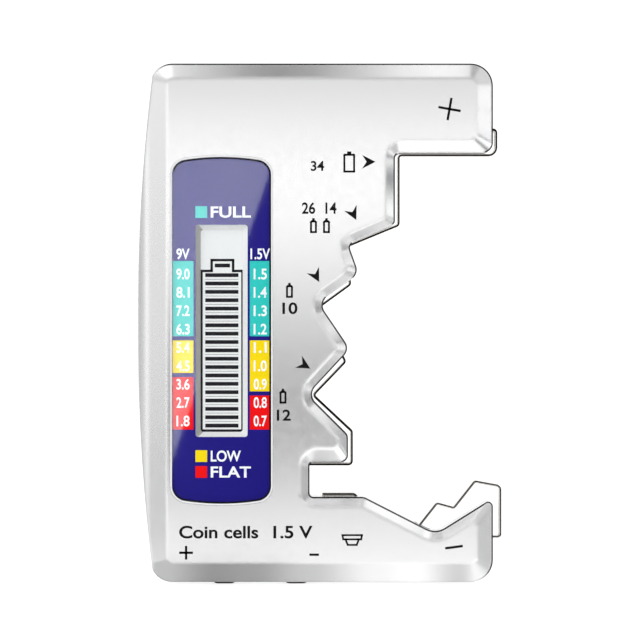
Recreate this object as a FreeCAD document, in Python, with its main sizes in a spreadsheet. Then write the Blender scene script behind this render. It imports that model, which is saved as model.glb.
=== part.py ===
"""Pocket battery tester: a moulded two-shell case with a staircase of battery notches,
bent metal contacts, a bar display and the electronics behind it.

Millimetres. +Z is up and the front faces -Y. The shells part at Y = 0, X = 0 is halfway between
the bowed left side and the spring on the right, and Z = 0 is the level of the lowest contacts.
"""
import FreeCAD, Part
import math
import os
from collections import namedtuple
from types import SimpleNamespace

import Sketcher

Vector = FreeCAD.Vector

# Driving dimensions: name, millimetres, meaning
DRIVING_SIZES = [
    ("overall_width", 65.4, "left bow to the outer face of the spring"),
    ("case_height", 93.0, "case, without the contacts under it"),
    ("case_depth", 22.0, "front face to back face"),
    ("contact_proud", 0.4, "nine-volt contacts below the case"),
    ("spring_standoff", 1.6, "outer face of the spring beyond the right side of the case"),
    ("wall", 2.3, "side walls of the shells"),
    ("face_wall", 2.4, "front and back walls of the shells"),
    ("corner_radius", 4.0, "four outer corners of the case"),
    ("arm_height", 16.0, "arm over the battery bay"),
    ("arm_end_radius", 1.8, "lower outer corner of the arm"),
    ("bay_wall_x", 13.53, "upright wall of the largest cell's bay"),
    ("step_z", 64.6, "lower end of that wall"),
    ("aa_notch_x", 5.2, "notch for middle cells"),
    ("aa_notch_z", 60.93, "notch for middle cells"),
    ("aa_peak_x", 7.08, "peak under that notch"),
    ("aa_peak_z", 55.68, "peak under that notch"),
    ("aaa_notch_x", -0.16, "notch for slim cells"),
    ("aaa_notch_z", 50.52, "notch for slim cells"),
    ("aaa_peak_x", 5.5, "peak under that notch"),
    ("aaa_peak_z", 42.19, "peak under that notch"),
    ("n_notch_x", -2.1, "notch for short cells"),
    ("n_notch_z", 33.99, "notch for short cells"),
    ("lip_x", 5.11, "lip between the short-cell notch and the button-cell slot"),
    ("lip_top_z", 26.79, "upper corner of the lip"),
    ("slot_top_z", 21.87, "roof of the button-cell slot"),
    ("slot_back_x", -1.79, "back of the button-cell slot"),
    ("slot_floor_z", 15.68, "floor of the button-cell slot"),
    ("slope_x", 7.97, "front edge of that floor, where the slope starts"),
    ("valley_x", 20.87, "low point under the spring"),
    ("valley_z", 9.11, "low point under the spring"),
    ("horn_z", 15.49, "tip of the horn at the lower right"),
    ("step_radius", 1.0, "lower end of the upright wall"),
    ("small_notch_radius", 1.1, "inner corner of the arm and of the first notch"),
    ("large_notch_radius", 2.0, "second and third notch"),
    ("peak_radius", 2.0, "peaks between the notches"),
    ("lip_radius", 1.3, "both corners of the lip"),
    ("slot_radius", 0.7, "inner corners of the button-cell slot"),
    ("slope_radius", 2.0, "top of the slope"),
    ("valley_radius", 3.2, "low point under the spring"),
    ("horn_radius", 0.85, "tip of the horn"),
    ("bevel_depth", 1.8, "front and back bevels, along the depth"),
    ("bevel_top", 2.63, "bevel along the top edge"),
    ("bevel_right", 2.85, "bevel along the right edges"),
    ("bevel_bottom", 3.2, "bevel along the bottom edge"),
    ("bevel_left", 3.0, "bevel along the left edge, up to the rounding of the grip"),
    ("bevel_arm", 2.2, "bevel under the arm"),
    ("bevel_notch", 1.7, "bevel along the notches and the slope"),
    ("bevel_lip", 2.5, "bevel over the button-cell slot"),
    ("grip_bulge", 5.3, "left side beyond the face, half way up"),
    ("grip_radius", 4.7, "rounding between the left bevel and the side"),
    ("grip_overlap", 0.1, "that rounding beyond the bow, half way up"),
    ("bow_radius", 360.0, "bow of the left side, from top to bottom"),
    ("bow_fall", 2.8, "left corners of the case behind the middle of the bow"),
    ("strip_thickness", 0.45, "sheet of the positive strip"),
    ("strip_width", 9.0, "positive strip and button-cell plate, along the depth"),
    ("strip_inner_bend", 0.35, "inner radius of the strip's bends"),
    ("strip_arm_bend", 1.6, "outer radius of the strip's bend at the end of the arm"),
    ("strip_proud_side", 0.88, "strip beyond the end of the arm"),
    ("strip_proud_arm", 0.54, "strip below the arm"),
    ("strip_proud_wall", 0.89, "strip in front of the upright wall and the lip"),
    ("strip_proud_slot", 0.63, "strip below the roof of the button-cell slot"),
    ("strip_tail_rise", 4.48, "strip's tail above the underside of the arm"),
    ("strip_tail", 1.6, "strip's tails past the inner faces of the walls"),
    ("strip_step_drop", 0.25, "strip's bend below the upright wall"),
    ("strip_aa_back", 0.27, "strip's bend behind the first notch"),
    ("strip_aa_drop", 0.49, "strip's bend below the first notch"),
    ("strip_aa_peak_back", 1.35, "strip's bend behind the first peak"),
    ("strip_aa_peak_drop", 1.96, "strip's bend below the first peak"),
    ("strip_aaa_out", 0.25, "strip's bend in front of the second notch"),
    ("strip_aaa_drop", 0.9, "strip's bend below the second notch"),
    ("strip_aaa_peak_back", 0.61, "strip's bend behind the second peak"),
    ("strip_aaa_peak_drop", 2.32, "strip's bend below the second peak"),
    ("strip_n_out", 1.26, "strip's bend in front of the third notch"),
    ("strip_n_drop", 0.1, "strip's bend below the third notch"),
    ("strip_lip_rise", 0.72, "strip's bend above the lip"),
    ("slit_clearance", 0.15, "slits beyond the edges of the strips"),
    ("plate_thickness", 0.6, "button-cell plate"),
    ("plate_length", 6.4, "flat part of the button-cell plate"),
    ("plate_setback", 1.1, "plate behind the front edge of the slot's floor"),
    ("plate_tail", 5.2, "plate's tail below the floor of the slot"),
    ("plate_inner_bend", 0.3, "inner radius of the plate's bend"),
    ("spring_thickness", 0.42, "sheet of the negative spring"),
    ("spring_width", 9.0, "negative spring, along the depth"),
    ("spring_inner_bend", 0.28, "inner radius of the spring's bends"),
    ("spring_shoulder_bend", 1.0, "outer radius of the spring's upper right bend"),
    ("spring_travel", 1.8, "how far a battery presses the spring down"),
    ("spring_clearance", 0.3, "room round the moving spring in the case"),
    ("spring_leg_x", 17.45, "spring's leg where it enters the case"),
    ("spring_leg_bend_z", 10.06, "spring's bend inside the case"),
    ("spring_foot_z", 5.6, "spring's foot inside the case"),
    ("spring_foot", 2.2, "length of that foot"),
    ("spring_crest_x", 21.05, "first crest of the spring"),
    ("spring_crest_z", 14.61, "first crest of the spring"),
    ("spring_dip_x", 24.1, "dip between the crests"),
    ("spring_dip_z", 13.77, "dip between the crests"),
    ("spring_top_x", 27.86, "second crest of the spring"),
    ("spring_top_z", 18.55, "second crest of the spring"),
    ("spring_shoulder_z", 17.66, "upper right bend of the spring"),
    ("spring_tail_z", 8.16, "spring's tail in the right side of the case"),
    ("spring_tail", 0.8, "that tail past the inner face of the wall"),
    ("nine_volt_pitch", 12.95, "between the two nine-volt contacts"),
    ("nine_volt_x", -10.66, "middle of the two nine-volt contacts"),
    ("contact_width", 4.3, "each nine-volt contact, across the front"),
    ("contact_depth", 8.0, "each nine-volt contact, along the depth"),
    ("contact_thickness", 0.4, "sheet of the nine-volt contacts"),
    ("contact_bend", 0.9, "outer radius of the contacts' bends"),
    ("contact_leg", 2.5, "contacts' legs above the inner face of the bottom wall"),
    ("panel_inset", 0.58, "lens recess from the left edge of the face"),
    ("panel_width", 18.52, "lens recess"),
    ("panel_rise", 13.7, "middle of the recess's lower edge above the bottom of the case"),
    ("panel_height", 62.9, "lens recess, between the middles of its arched ends"),
    ("panel_arch", 0.95, "rise of the arched upper and lower edges"),
    ("panel_corner", 3.1, "corners of the lens recess"),
    ("lens_thickness", 1.0, "clear lens"),
    ("lens_clearance", 0.1, "gap round the lens and the label"),
    ("lens_ledge", 0.3, "ledge round the label, on which the lens sits"),
    ("label_gap", 0.08, "air between the lens and the label"),
    ("label_thickness", 0.2, "printed film under the lens"),
    ("window_width", 9.36, "display window"),
    ("window_height", 38.03, "display window"),
    ("window_rise", 12.33, "window above the recess's lower edge"),
    ("window_bevel", 0.9, "slanted sides of the window"),
    ("window_corner", 0.5, "corners of the window"),
    ("lcd_width", 12.0, "display glass"),
    ("lcd_height", 44.0, "front display glass"),
    ("lcd_ledge", 3.0, "front glass beyond the rear glass at either end"),
    ("glass_thickness", 1.0, "each of the two glasses"),
    ("holder_wall", 1.1, "frame round the display"),
    ("holder_clearance", 0.15, "gap between that frame and the glass"),
    ("zebra_height", 3.0, "rubber connectors between glass and board"),
    ("zebra_width", 2.0, "rubber connectors, up the front"),
    ("zebra_length", 10.0, "rubber connectors, across the front"),
    ("board_clearance", 0.6, "circuit board from the hollow's left side and the strip's tail"),
    ("board_height", 60.0, "circuit board"),
    ("board_thickness", 1.2, "circuit board"),
    ("board_corner", 1.0, "corners of the circuit board"),
    ("post_inset", 2.3, "board screws from the edges of the board"),
    ("post_diameter", 4.0, "posts under the board"),
    ("board_screw_diameter", 1.7, "shanks of the board screws"),
    ("board_screw_length", 4.5, "shanks of the board screws"),
    ("board_screw_head", 3.2, "heads of the board screws"),
    ("board_screw_head_height", 1.2, "heads of the board screws"),
    ("chip_diameter", 9.0, "potting over the controller"),
    ("chip_top_diameter", 5.0, "flat top of that potting"),
    ("chip_height", 1.3, "potting over the controller"),
    ("chip_z", 48.0, "middle of the controller"),
    ("resistor_pitch", 3.2, "between the resistors"),
    ("capacitor_pitch", 4.0, "between the capacitors"),
    ("resistor_z", 60.0, "row of resistors"),
    ("capacitor_z", 36.0, "row of capacitors"),
    ("component_length", 2.0, "resistors and capacitors, up the board"),
    ("component_width", 1.25, "resistors and capacitors, across the board"),
    ("resistor_height", 0.55, "resistors above the board"),
    ("capacitor_height", 0.9, "capacitors above the board"),
    ("cavity_inset", 1.0, "left side of the hollow from the left edge of the face"),
    ("boss_diameter", 5.4, "screw bosses of the case"),
    ("left_boss_inset", 3.5, "left bosses from the left edge of the face"),
    ("arm_boss_inset", 7.4, "boss in the arm from the right side"),
    ("lower_right_boss_x", 11.4, "boss under the slope"),
    ("upper_boss_drop", 6.6, "upper bosses below the top"),
    ("lower_boss_rise", 6.0, "lower bosses above the bottom"),
    ("case_screw_diameter", 2.2, "shanks of the case screws"),
    ("case_screw_bore", 2.8, "clearance holes for the shanks"),
    ("case_screw_length", 12.0, "shanks of the case screws"),
    ("case_screw_head", 4.2, "heads of the case screws"),
    ("case_screw_head_height", 1.7, "heads of the case screws"),
    ("counterbore", 5.0, "holes for the heads"),
    ("counterbore_depth", 3.4, "holes for the heads, below the back"),
    ("recess_width", 0.7, "arms of the cross recess in the screws"),
    ("recess_depth", 0.8, "cross recess in the screws"),
    ("wire_diameter", 0.9, "insulated wires"),
    ("wire_rise", 6.4, "wires behind the board"),
    ("pad_rise", 6.0, "lower solder pads above the lower edge of the board"),
    ("negative_pad_rise", 9.0, "negative pad above the lower edge of the board"),
    ("positive_pad_rise", 19.0, "positive pad above the lower edge of the board"),
    ("margin", 1.0, "cutting shapes beyond what they cut"),
]

RESISTOR_COUNT = 4
CAPACITOR_COUNT = 3
# Height of the outline's left guides from either end, as a share of the case
GUIDE_SHARE = 0.3
# Rounding of the face's outward corners, as a share of the outline's rounding
CORNER_FACE_SHARE = 0.3
PEAK_FACE_SHARE = 0.8
# Length of the cross recess, as a share of the screw's head
RECESS_SHARE = 0.6
# Most that a bend in a wire takes of the straight runs beside it
BEND_SHARE = 0.25
# Sides of the wires, and of round work that stays hidden inside the case
WIRE_SIDES = 6
HIDDEN_SIDES = 12
# How a pipe turns a corner, in the modeller's own numbers
MITRED = 1

doc = FreeCAD.newDocument("battery_tester")


class Size:
    """A length together with the sheet expression that gives it."""

    def __init__(self, value, text):
        self.value = float(value)
        self.text = text

    def __add__(self, other):
        other = as_size(other)
        return Size(self.value + other.value, f"({self.text} + {other.text})")

    def __sub__(self, other):
        other = as_size(other)
        return Size(self.value - other.value, f"({self.text} - {other.text})")

    def __mul__(self, other):
        other = as_size(other)
        return Size(self.value * other.value, f"({self.text} * {other.text})")

    def __truediv__(self, other):
        other = as_size(other)
        return Size(self.value / other.value, f"({self.text} / {other.text})")

    def __neg__(self):
        return Size(-self.value, f"(0 - {self.text})")


def as_size(number):
    """A plain number as a Size."""
    if isinstance(number, Size):
        return number
    return Size(number, f"({number})")


def make_sheet():
    """Write the driving dimensions to the sheet and return them as named Sizes."""
    sheet = doc.addObject("Spreadsheet::Sheet", "Sizes")
    sizes = SimpleNamespace()
    for row, (name, value, meaning) in enumerate(DRIVING_SIZES, start=1):
        sheet.set(f"A{row}", meaning)
        sheet.set(f"B{row}", str(value))
        sheet.setAlias(f"B{row}", name)
        setattr(sizes, name, Size(value, f"Sizes.{name}"))
    doc.recompute()
    return sizes


size = make_sheet()
NOTHING = as_size(0)

# Levels that several pieces share
case_bottom = size.contact_proud
case_top = case_bottom + size.case_height
case_right = size.overall_width / 2 - size.spring_standoff
case_left = NOTHING - size.overall_width / 2
face_left = case_left + size.grip_bulge
arm_z = case_top - size.arm_height
half_depth = size.case_depth / 2
front_y = NOTHING - half_depth
bevel_foot_y = front_y + size.bevel_depth
lens_seat_y = front_y + size.lens_thickness
label_seat_y = lens_seat_y + size.label_gap + size.label_thickness
inside_front_y = front_y + size.face_wall
inside_back_y = half_depth - size.face_wall
floor_inside_z = case_bottom + size.wall
board_front_y = inside_front_y + size.glass_thickness + size.zebra_height
board_back_y = board_front_y + size.board_thickness
cavity_left = face_left + size.cavity_inset
panel_left = face_left + size.panel_inset
panel_bottom = case_bottom + size.panel_rise
window_x = panel_left + size.panel_width / 2
window_z = panel_bottom + size.window_rise + size.window_height / 2
strip_end_x = size.slot_back_x - size.wall - size.strip_tail
board_left = cavity_left + size.board_clearance
board_right = strip_end_x - size.board_clearance
board_x = (board_left + board_right) / 2
board_bottom_z = window_z - size.board_height / 2
plate_front_x = size.slope_x - size.plate_setback
spring_face_x = size.overall_width / 2
screw_seat_y = half_depth - size.counterbore_depth


# Binding helpers
def bind(thing, values):
    """Tie properties of a document object to the sheet."""
    for name, value in values.items():
        thing.setExpression(name, as_size(value).text)


def place(thing, x=NOTHING, y=NOTHING, z=NOTHING):
    """Tie an object's position to the sheet."""
    bind(thing, {"Placement.Base.x": x, "Placement.Base.y": y, "Placement.Base.z": z})


def box(name, x, y, z):
    """A block between two values on each axis."""
    block = doc.addObject("Part::Box", name)
    bind(block, {"Length": x[1] - x[0], "Width": y[1] - y[0], "Height": z[1] - z[0]})
    place(block, x[0], y[0], z[0])
    return block


def lay_along_depth(bar, radius_name, x, z, y, diameter):
    """Turn an upright bar to run between two values of y."""
    bar.Placement.Rotation = FreeCAD.Rotation(Vector(1, 0, 0), -90)
    bind(bar, {radius_name: diameter / 2, "Height": y[1] - y[0]})
    place(bar, x, y[0], z)
    return bar


def rod(name, x, z, y, diameter):
    """A round bar along the depth."""
    return lay_along_depth(doc.addObject("Part::Cylinder", name), "Radius", x, z, y, diameter)


def hidden_rod(name, x, z, y, diameter):
    """A many-sided bar along the depth, for round work inside the case."""
    bar = doc.addObject("Part::Prism", name)
    bar.Polygon = HIDDEN_SIDES
    return lay_along_depth(bar, "Circumradius", x, z, y, diameter)


def fuse(name, pieces):
    """One solid from several that touch or overlap."""
    union = doc.addObject("Part::MultiFuse", name)
    union.Shapes = pieces
    return union


def group(name, pieces):
    """Separate solids that share one node."""
    members = doc.addObject("Part::Compound", name)
    members.Links = pieces
    return members


def cut(name, base, tools):
    """The base less all the tools."""
    result = doc.addObject("Part::Cut", name)
    result.Base = base
    result.Tool = tools[0] if len(tools) == 1 else fuse(name + "Tools", tools)
    return result


def common(name, first, second):
    """What two solids share."""
    result = doc.addObject("Part::Common", name)
    result.Base = first
    result.Tool = second
    return result


def extrude(name, outline, forward, backward=NOTHING, along=Vector(0, -1, 0)):
    """A closed outline drawn out both ways, towards the front and the back unless told otherwise."""
    solid = doc.addObject("Part::Extrusion", name)
    solid.Base = outline
    solid.DirMode = "Custom"
    solid.Dir = along
    solid.Solid = True
    bind(solid, {"LengthFwd": forward, "LengthRev": backward})
    return solid


def loft(name, sections):
    """A solid with straight sides from one closed sketch to another."""
    solid = doc.addObject("Part::Loft", name)
    solid.Sections = sections
    solid.Solid = True
    solid.Ruled = True
    return solid


# Sketch helpers
# A corner's z is its place on the sketch's upright axis
Corner = namedtuple("Corner", "name x z radius")


def front_sketch(name, y=NOTHING):
    """A sketch seen from the front: its axes are X and Z of the model."""
    sketch = doc.addObject("Sketcher::SketchObject", name)
    sketch.Placement.Rotation = FreeCAD.Rotation(Vector(1, 0, 0), 90)
    place(sketch, y=y)
    return sketch


def dimension(sketch, constraint, name, value):
    """Add a named constraint and tie it to the sheet."""
    index = sketch.addConstraint(constraint)
    sketch.renameConstraint(index, name)
    sketch.setExpression(f"Constraints.{name}", as_size(value).text)


def direction(start, end):
    """Unit vector between two points of a sketch."""
    return (end - start).normalize()


def corner_arc(before, point, after, radius):
    """The rounding of one corner: its arc, its ends and whether it turns left."""
    arriving = direction(before, point)
    leaving = direction(point, after)
    turn = arriving.getAngle(leaving)
    reach = radius * math.tan(turn / 2)
    start = point - arriving * reach
    end = point + leaving * reach
    left = arriving.cross(leaving).z > 0
    side = 1 if left else -1
    centre = start + Vector(-arriving.y, arriving.x, 0) * radius * side
    first, last = (start, end) if left else (end, start)
    angles = [math.atan2(p.y - centre.y, p.x - centre.x) for p in (first, last)]
    arc = Part.ArcOfCircle(Part.Circle(centre, Vector(0, 0, 1), radius), angles[0], angles[1])
    return arc, start, end, left


def flat(corner):
    """A corner's place in its sketch."""
    return Vector(corner.x.value, corner.z.value, 0)


def pin(sketch, geometry, position, corner):
    """Hold one point of a sketch where its corner is."""
    x_constraint = Sketcher.Constraint("DistanceX", -1, 1, geometry, position, corner.x.value)
    dimension(sketch, x_constraint, corner.name + "_x", corner.x)
    z_constraint = Sketcher.Constraint("DistanceY", -1, 1, geometry, position, corner.z.value)
    dimension(sketch, z_constraint, corner.name + "_z", corner.z)


def join_arc(sketch, arc, before, after, left):
    """Make an arc tangent to the line before it and the line after it."""
    first, last = (1, 2) if left else (2, 1)
    sketch.addConstraint([
        Sketcher.Constraint("Tangent", before, 2, arc, first),
        Sketcher.Constraint("Tangent", arc, last, after, 1),
    ])


def round_corner(sketch, arc, before, after, left, corner):
    """Tie one rounded corner: tangent arc, radius, and the sharp point where its lines meet."""
    join_arc(sketch, arc, before, after, left)
    dimension(sketch, Sketcher.Constraint("Radius", arc, corner.radius.value),
              corner.name + "_radius", corner.radius)
    point = sketch.addGeometry(Part.Point(flat(corner)), True)
    sketch.addConstraint([
        Sketcher.Constraint("PointOnObject", point, 1, before),
        Sketcher.Constraint("PointOnObject", point, 1, after),
    ])
    pin(sketch, point, 1, corner)


def closed_outline(sketch, corners):
    """Draw a closed loop of straight runs with a rounded corner at every point."""
    points = [flat(corner) for corner in corners]
    count = len(points)
    arcs = [corner_arc(points[i - 1], points[i], points[(i + 1) % count], corners[i].radius.value)
            for i in range(count)]
    lines = []
    for i in range(count):
        following = arcs[(i + 1) % count]
        lines.append(sketch.addGeometry(Part.LineSegment(arcs[i][2], following[1])))
    for i in range(count):
        arc = sketch.addGeometry(arcs[i][0])
        round_corner(sketch, arc, lines[i - 1], lines[i], arcs[i][3], corners[i])


def sharp_outline(sketch, corners):
    """Draw a closed loop of straight runs with sharp corners."""
    points = [flat(corner) for corner in corners]
    lines = [sketch.addGeometry(Part.LineSegment(points[i - 1], points[i])) for i in range(len(points))]
    for i, corner in enumerate(corners):
        following = lines[(i + 1) % len(lines)]
        sketch.addConstraint(Sketcher.Constraint("Coincident", lines[i], 2, following, 1))
        pin(sketch, lines[i], 2, corner)


def rounded_rectangle(sketch, x, z, radius):
    """Draw a rectangle between two values on each axis, with rounded corners."""
    closed_outline(sketch, [
        Corner("bottom_left", x[0], z[0], radius),
        Corner("bottom_right", x[1], z[0], radius),
        Corner("top_right", x[1], z[1], radius),
        Corner("top_left", x[0], z[1], radius),
    ])


def open_path(sketch, corners):
    """Draw an open run of straight stretches with rounded bends between its ends."""
    points = [flat(corner) for corner in corners]
    last = len(points) - 1
    arcs = [corner_arc(points[i - 1], points[i], points[i + 1], corners[i].radius.value)
            for i in range(1, last)]
    starts = [points[0]] + [arc[2] for arc in arcs]
    ends = [arc[1] for arc in arcs] + [points[last]]
    lines = [sketch.addGeometry(Part.LineSegment(start, end)) for start, end in zip(starts, ends)]
    for i, (arc, _start, _end, left) in enumerate(arcs):
        drawn = sketch.addGeometry(arc)
        round_corner(sketch, drawn, lines[i], lines[i + 1], left, corners[i + 1])
    pin(sketch, lines[0], 1, corners[0])
    pin(sketch, lines[-1], 2, corners[last])


def inset_point(before, point, after, width_before, width_after):
    """Where two edges meet after each has moved inwards by its own width."""
    arriving = direction(before, point)
    leaving = direction(point, after)
    turn = arriving.cross(leaving).z
    return point + (leaving * width_before - arriving * width_after) * (1 / turn)


def inset_outline(sketch, corners, widths, radii):
    """Draw a loop inside another one: widths[i] is the inset of the edge that leaves corner i."""
    points = [flat(corner) for corner in corners]
    count = len(points)
    inner = [inset_point(points[i - 1], points[i], points[(i + 1) % count],
                         widths[i - 1].value, widths[i].value) for i in range(count)]
    arcs = [corner_arc(inner[i - 1], inner[i], inner[(i + 1) % count], radii[i].value)
            for i in range(count)]
    lines = []
    for i in range(count):
        following = arcs[(i + 1) % count]
        lines.append(sketch.addGeometry(Part.LineSegment(arcs[i][2], following[1])))
    guides = []
    for i in range(count):
        guide = Part.LineSegment(points[i], points[(i + 1) % count])
        guides.append(sketch.addGeometry(guide, True))
    for i, corner in enumerate(corners):
        arc = sketch.addGeometry(arcs[i][0])
        join_arc(sketch, arc, lines[i - 1], lines[i], arcs[i][3])
        dimension(sketch, Sketcher.Constraint("Radius", arc, radii[i].value),
                  corner.name + "_radius", radii[i])
        sketch.addConstraint([
            Sketcher.Constraint("Coincident", guides[i - 1], 2, guides[i], 1),
            Sketcher.Constraint("Parallel", guides[i], lines[i]),
        ])
        pin(sketch, guides[i], 1, corner)
        inset = Sketcher.Constraint("Distance", guides[i], 1, lines[i], widths[i].value)
        dimension(sketch, inset, corner.name + "_inset", widths[i])


# Case outline
Edge = namedtuple("Edge", "corner bevel")


def case_edges():
    """Corners of the case, anticlockwise from the lower left, each with the bevel that leaves it."""
    left_end_x = case_left + size.bow_fall
    left_guide_x = case_left - size.margin
    guide_rise = size.case_height * GUIDE_SHARE
    upper_guide_z = case_top - guide_rise
    lower_guide_z = case_bottom + guide_rise
    notch = size.bevel_notch
    return [
        Edge(Corner("bottom_left", left_end_x, case_bottom, size.corner_radius), size.bevel_bottom),
        Edge(Corner("bottom_right", case_right, case_bottom, size.corner_radius), size.bevel_right),
        Edge(Corner("horn", case_right, size.horn_z, size.horn_radius), notch),
        Edge(Corner("valley", size.valley_x, size.valley_z, size.valley_radius), notch),
        Edge(Corner("slope", size.slope_x, size.slot_floor_z, size.slope_radius), notch),
        Edge(Corner("slot_floor", size.slot_back_x, size.slot_floor_z, size.slot_radius), notch),
        Edge(Corner("slot_roof", size.slot_back_x, size.slot_top_z, size.slot_radius), size.bevel_lip),
        Edge(Corner("lip_lower", size.lip_x, size.slot_top_z, size.lip_radius), notch),
        Edge(Corner("lip_upper", size.lip_x, size.lip_top_z, size.lip_radius), notch),
        Edge(Corner("n_notch", size.n_notch_x, size.n_notch_z, size.large_notch_radius), notch),
        Edge(Corner("aaa_peak", size.aaa_peak_x, size.aaa_peak_z, size.peak_radius), notch),
        Edge(Corner("aaa_notch", size.aaa_notch_x, size.aaa_notch_z, size.large_notch_radius), notch),
        Edge(Corner("aa_peak", size.aa_peak_x, size.aa_peak_z, size.peak_radius), notch),
        Edge(Corner("aa_notch", size.aa_notch_x, size.aa_notch_z, size.small_notch_radius), notch),
        Edge(Corner("step", size.bay_wall_x, size.step_z, size.step_radius), notch),
        Edge(Corner("arm_inner", size.bay_wall_x, arm_z, size.small_notch_radius), size.bevel_arm),
        Edge(Corner("arm_end", case_right, arm_z, size.arm_end_radius), size.bevel_right),
        Edge(Corner("top_right", case_right, case_top, size.corner_radius), size.bevel_top),
        Edge(Corner("top_left", left_end_x, case_top, size.corner_radius), size.bevel_left),
        Edge(Corner("left_upper", left_guide_x, upper_guide_z, size.corner_radius), size.bevel_left),
        Edge(Corner("left_lower", left_guide_x, lower_guide_z, size.corner_radius), size.bevel_left),
    ]


def turns_left(corners, i):
    """Whether the outline is convex at a corner."""
    before, point, after = (flat(corners[k % len(corners)]) for k in (i - 1, i, i + 1))
    return direction(before, point).cross(direction(point, after)).z > 0


def face_outline(corners, bevels):
    """The flat face inside the bevels."""
    radii = []
    for i, corner in enumerate(corners):
        if not turns_left(corners, i):
            radii.append(corner.radius + bevels[i])
        elif corner.radius is size.corner_radius:
            radii.append(corner.radius * CORNER_FACE_SHARE)
        else:
            radii.append(corner.radius * PEAK_FACE_SHARE)
    face = front_sketch("FaceOutline", front_y)
    inset_outline(face, corners, bevels, radii)
    return face


def grip_form():
    """A bar with a bevelled and rounded left side, bowed from top to bottom to fit the hand."""
    slope = size.bevel_left / size.bevel_depth
    side_x = case_left - size.grip_overlap
    edge_x = face_left + slope * size.margin
    right_x = size.overall_width
    outer_y = half_depth + size.margin
    turn_y = half_depth - (face_left - side_x) / slope
    loose = size.margin / 4
    plan = doc.addObject("Sketcher::SketchObject", "GripPlan")
    place(plan, z=case_bottom - size.margin)
    closed_outline(plan, [
        Corner("front_left", edge_x, -outer_y, loose),
        Corner("front_right", right_x, -outer_y, loose),
        Corner("back_right", right_x, outer_y, loose),
        Corner("back_left", edge_x, outer_y, loose),
        Corner("side_back", side_x, turn_y, size.grip_radius),
        Corner("side_front", side_x, -turn_y, size.grip_radius),
    ])
    bar = extrude("GripBar", plan, size.case_height + size.margin * 2, along=Vector(0, 0, 1))
    bow = rod("GripBow", case_left + size.bow_radius, (case_bottom + case_top) / 2,
              (-outer_y, outer_y), size.bow_radius * 2)
    return common("GripForm", bar, bow)


def half_case():
    """The solid form of the front half and the hollow inside it."""
    edges = case_edges()
    corners = [edge.corner for edge in edges]
    outline = front_sketch("CaseOutline")
    closed_outline(outline, corners)
    foot = front_sketch("BevelFoot", bevel_foot_y)
    closed_outline(foot, corners)
    face = face_outline(corners, [edge.bevel for edge in edges])
    prism = extrude("CasePrism", outline, half_depth - size.bevel_depth)
    bevel = loft("CaseBevel", [foot, face])
    form = common("FrontForm", fuse("CaseBlock", [prism, bevel]), grip_form())
    sharp = front_sketch("SharpOutline")
    sharp_outline(sharp, corners)
    inner = doc.addObject("Part::Offset2D", "HollowOutline")
    inner.Source = sharp
    inner.Join = "Intersection"
    bind(inner, {"Value": -size.wall})
    drawn = extrude("HollowPrism", inner, half_depth - size.face_wall)
    room = box("HollowRoom", (cavity_left, size.overall_width), (front_y, half_depth),
               (NOTHING, case_top))
    hollow = common("FrontHollow", drawn, room)
    return form, hollow


def mirrored(name, source):
    """The same form on the other side of the parting plane."""
    twin = doc.addObject("Part::Mirroring", name)
    twin.Source = source
    twin.Normal = Vector(0, 1, 0)
    return twin


# Bent strips
def bent_strip(name, corners, thickness, width):
    """A sheet-metal strip along a path, and the slit that it needs in the case."""
    path = front_sketch(name + "Path")
    open_path(path, corners)
    profile = doc.addObject("Part::Offset2D", name + "Profile")
    profile.Source = path
    profile.Mode = "Skin"
    profile.Fill = True
    profile.Join = "Intersection"
    bind(profile, {"Value": thickness})
    strip = extrude(name, profile, width / 2, width / 2)
    reach = width / 2 + size.slit_clearance
    slit = extrude(name + "Slit", profile, reach, reach)
    return strip, slit


def positive_strip():
    """One ribbon from the end of the arm down the staircase to the button-cell slot."""
    inside = size.strip_inner_bend
    outside = inside + size.strip_thickness
    side_x = case_right + size.strip_proud_side
    tail_z = arm_z + size.strip_tail_rise
    under_arm_z = arm_z - size.strip_proud_arm
    wall_x = size.bay_wall_x + size.strip_proud_wall
    lip_x = size.lip_x + size.strip_proud_wall
    slot_z = size.slot_top_z - size.strip_proud_slot
    corners = [
        Corner("tail", case_right - size.wall - size.strip_tail, tail_z, outside),
        Corner("side_upper", side_x, tail_z, outside),
        Corner("side_lower", side_x, under_arm_z, size.strip_arm_bend),
        Corner("arm_inner", wall_x, under_arm_z, inside),
        Corner("step", wall_x, size.step_z - size.strip_step_drop, outside),
        Corner("aa_notch", size.aa_notch_x - size.strip_aa_back,
               size.aa_notch_z - size.strip_aa_drop, inside),
        Corner("aa_peak", size.aa_peak_x - size.strip_aa_peak_back,
               size.aa_peak_z - size.strip_aa_peak_drop, outside),
        Corner("aaa_notch", size.aaa_notch_x + size.strip_aaa_out,
               size.aaa_notch_z - size.strip_aaa_drop, inside),
        Corner("aaa_peak", size.aaa_peak_x - size.strip_aaa_peak_back,
               size.aaa_peak_z - size.strip_aaa_peak_drop, outside),
        Corner("n_notch", size.n_notch_x + size.strip_n_out,
               size.n_notch_z - size.strip_n_drop, inside),
        Corner("lip_upper", lip_x, size.lip_top_z + size.strip_lip_rise, outside),
        Corner("lip_lower", lip_x, slot_z, outside),
        Corner("slot_end", strip_end_x, slot_z, outside),
    ]
    return bent_strip("positive_strip", corners, -size.strip_thickness, size.strip_width)


def button_cell_plate():
    """A plate on the floor of the button-cell slot, with a tail down into the case."""
    top_z = size.slot_floor_z + size.plate_thickness
    bend = size.plate_inner_bend + size.plate_thickness
    corners = [
        Corner("back", plate_front_x - size.plate_length, top_z, bend),
        Corner("front", plate_front_x, top_z, bend),
        Corner("tail", plate_front_x, size.slot_floor_z - size.plate_tail, bend),
    ]
    return bent_strip("button_cell_plate", corners, -size.plate_thickness, size.strip_width)


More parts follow.
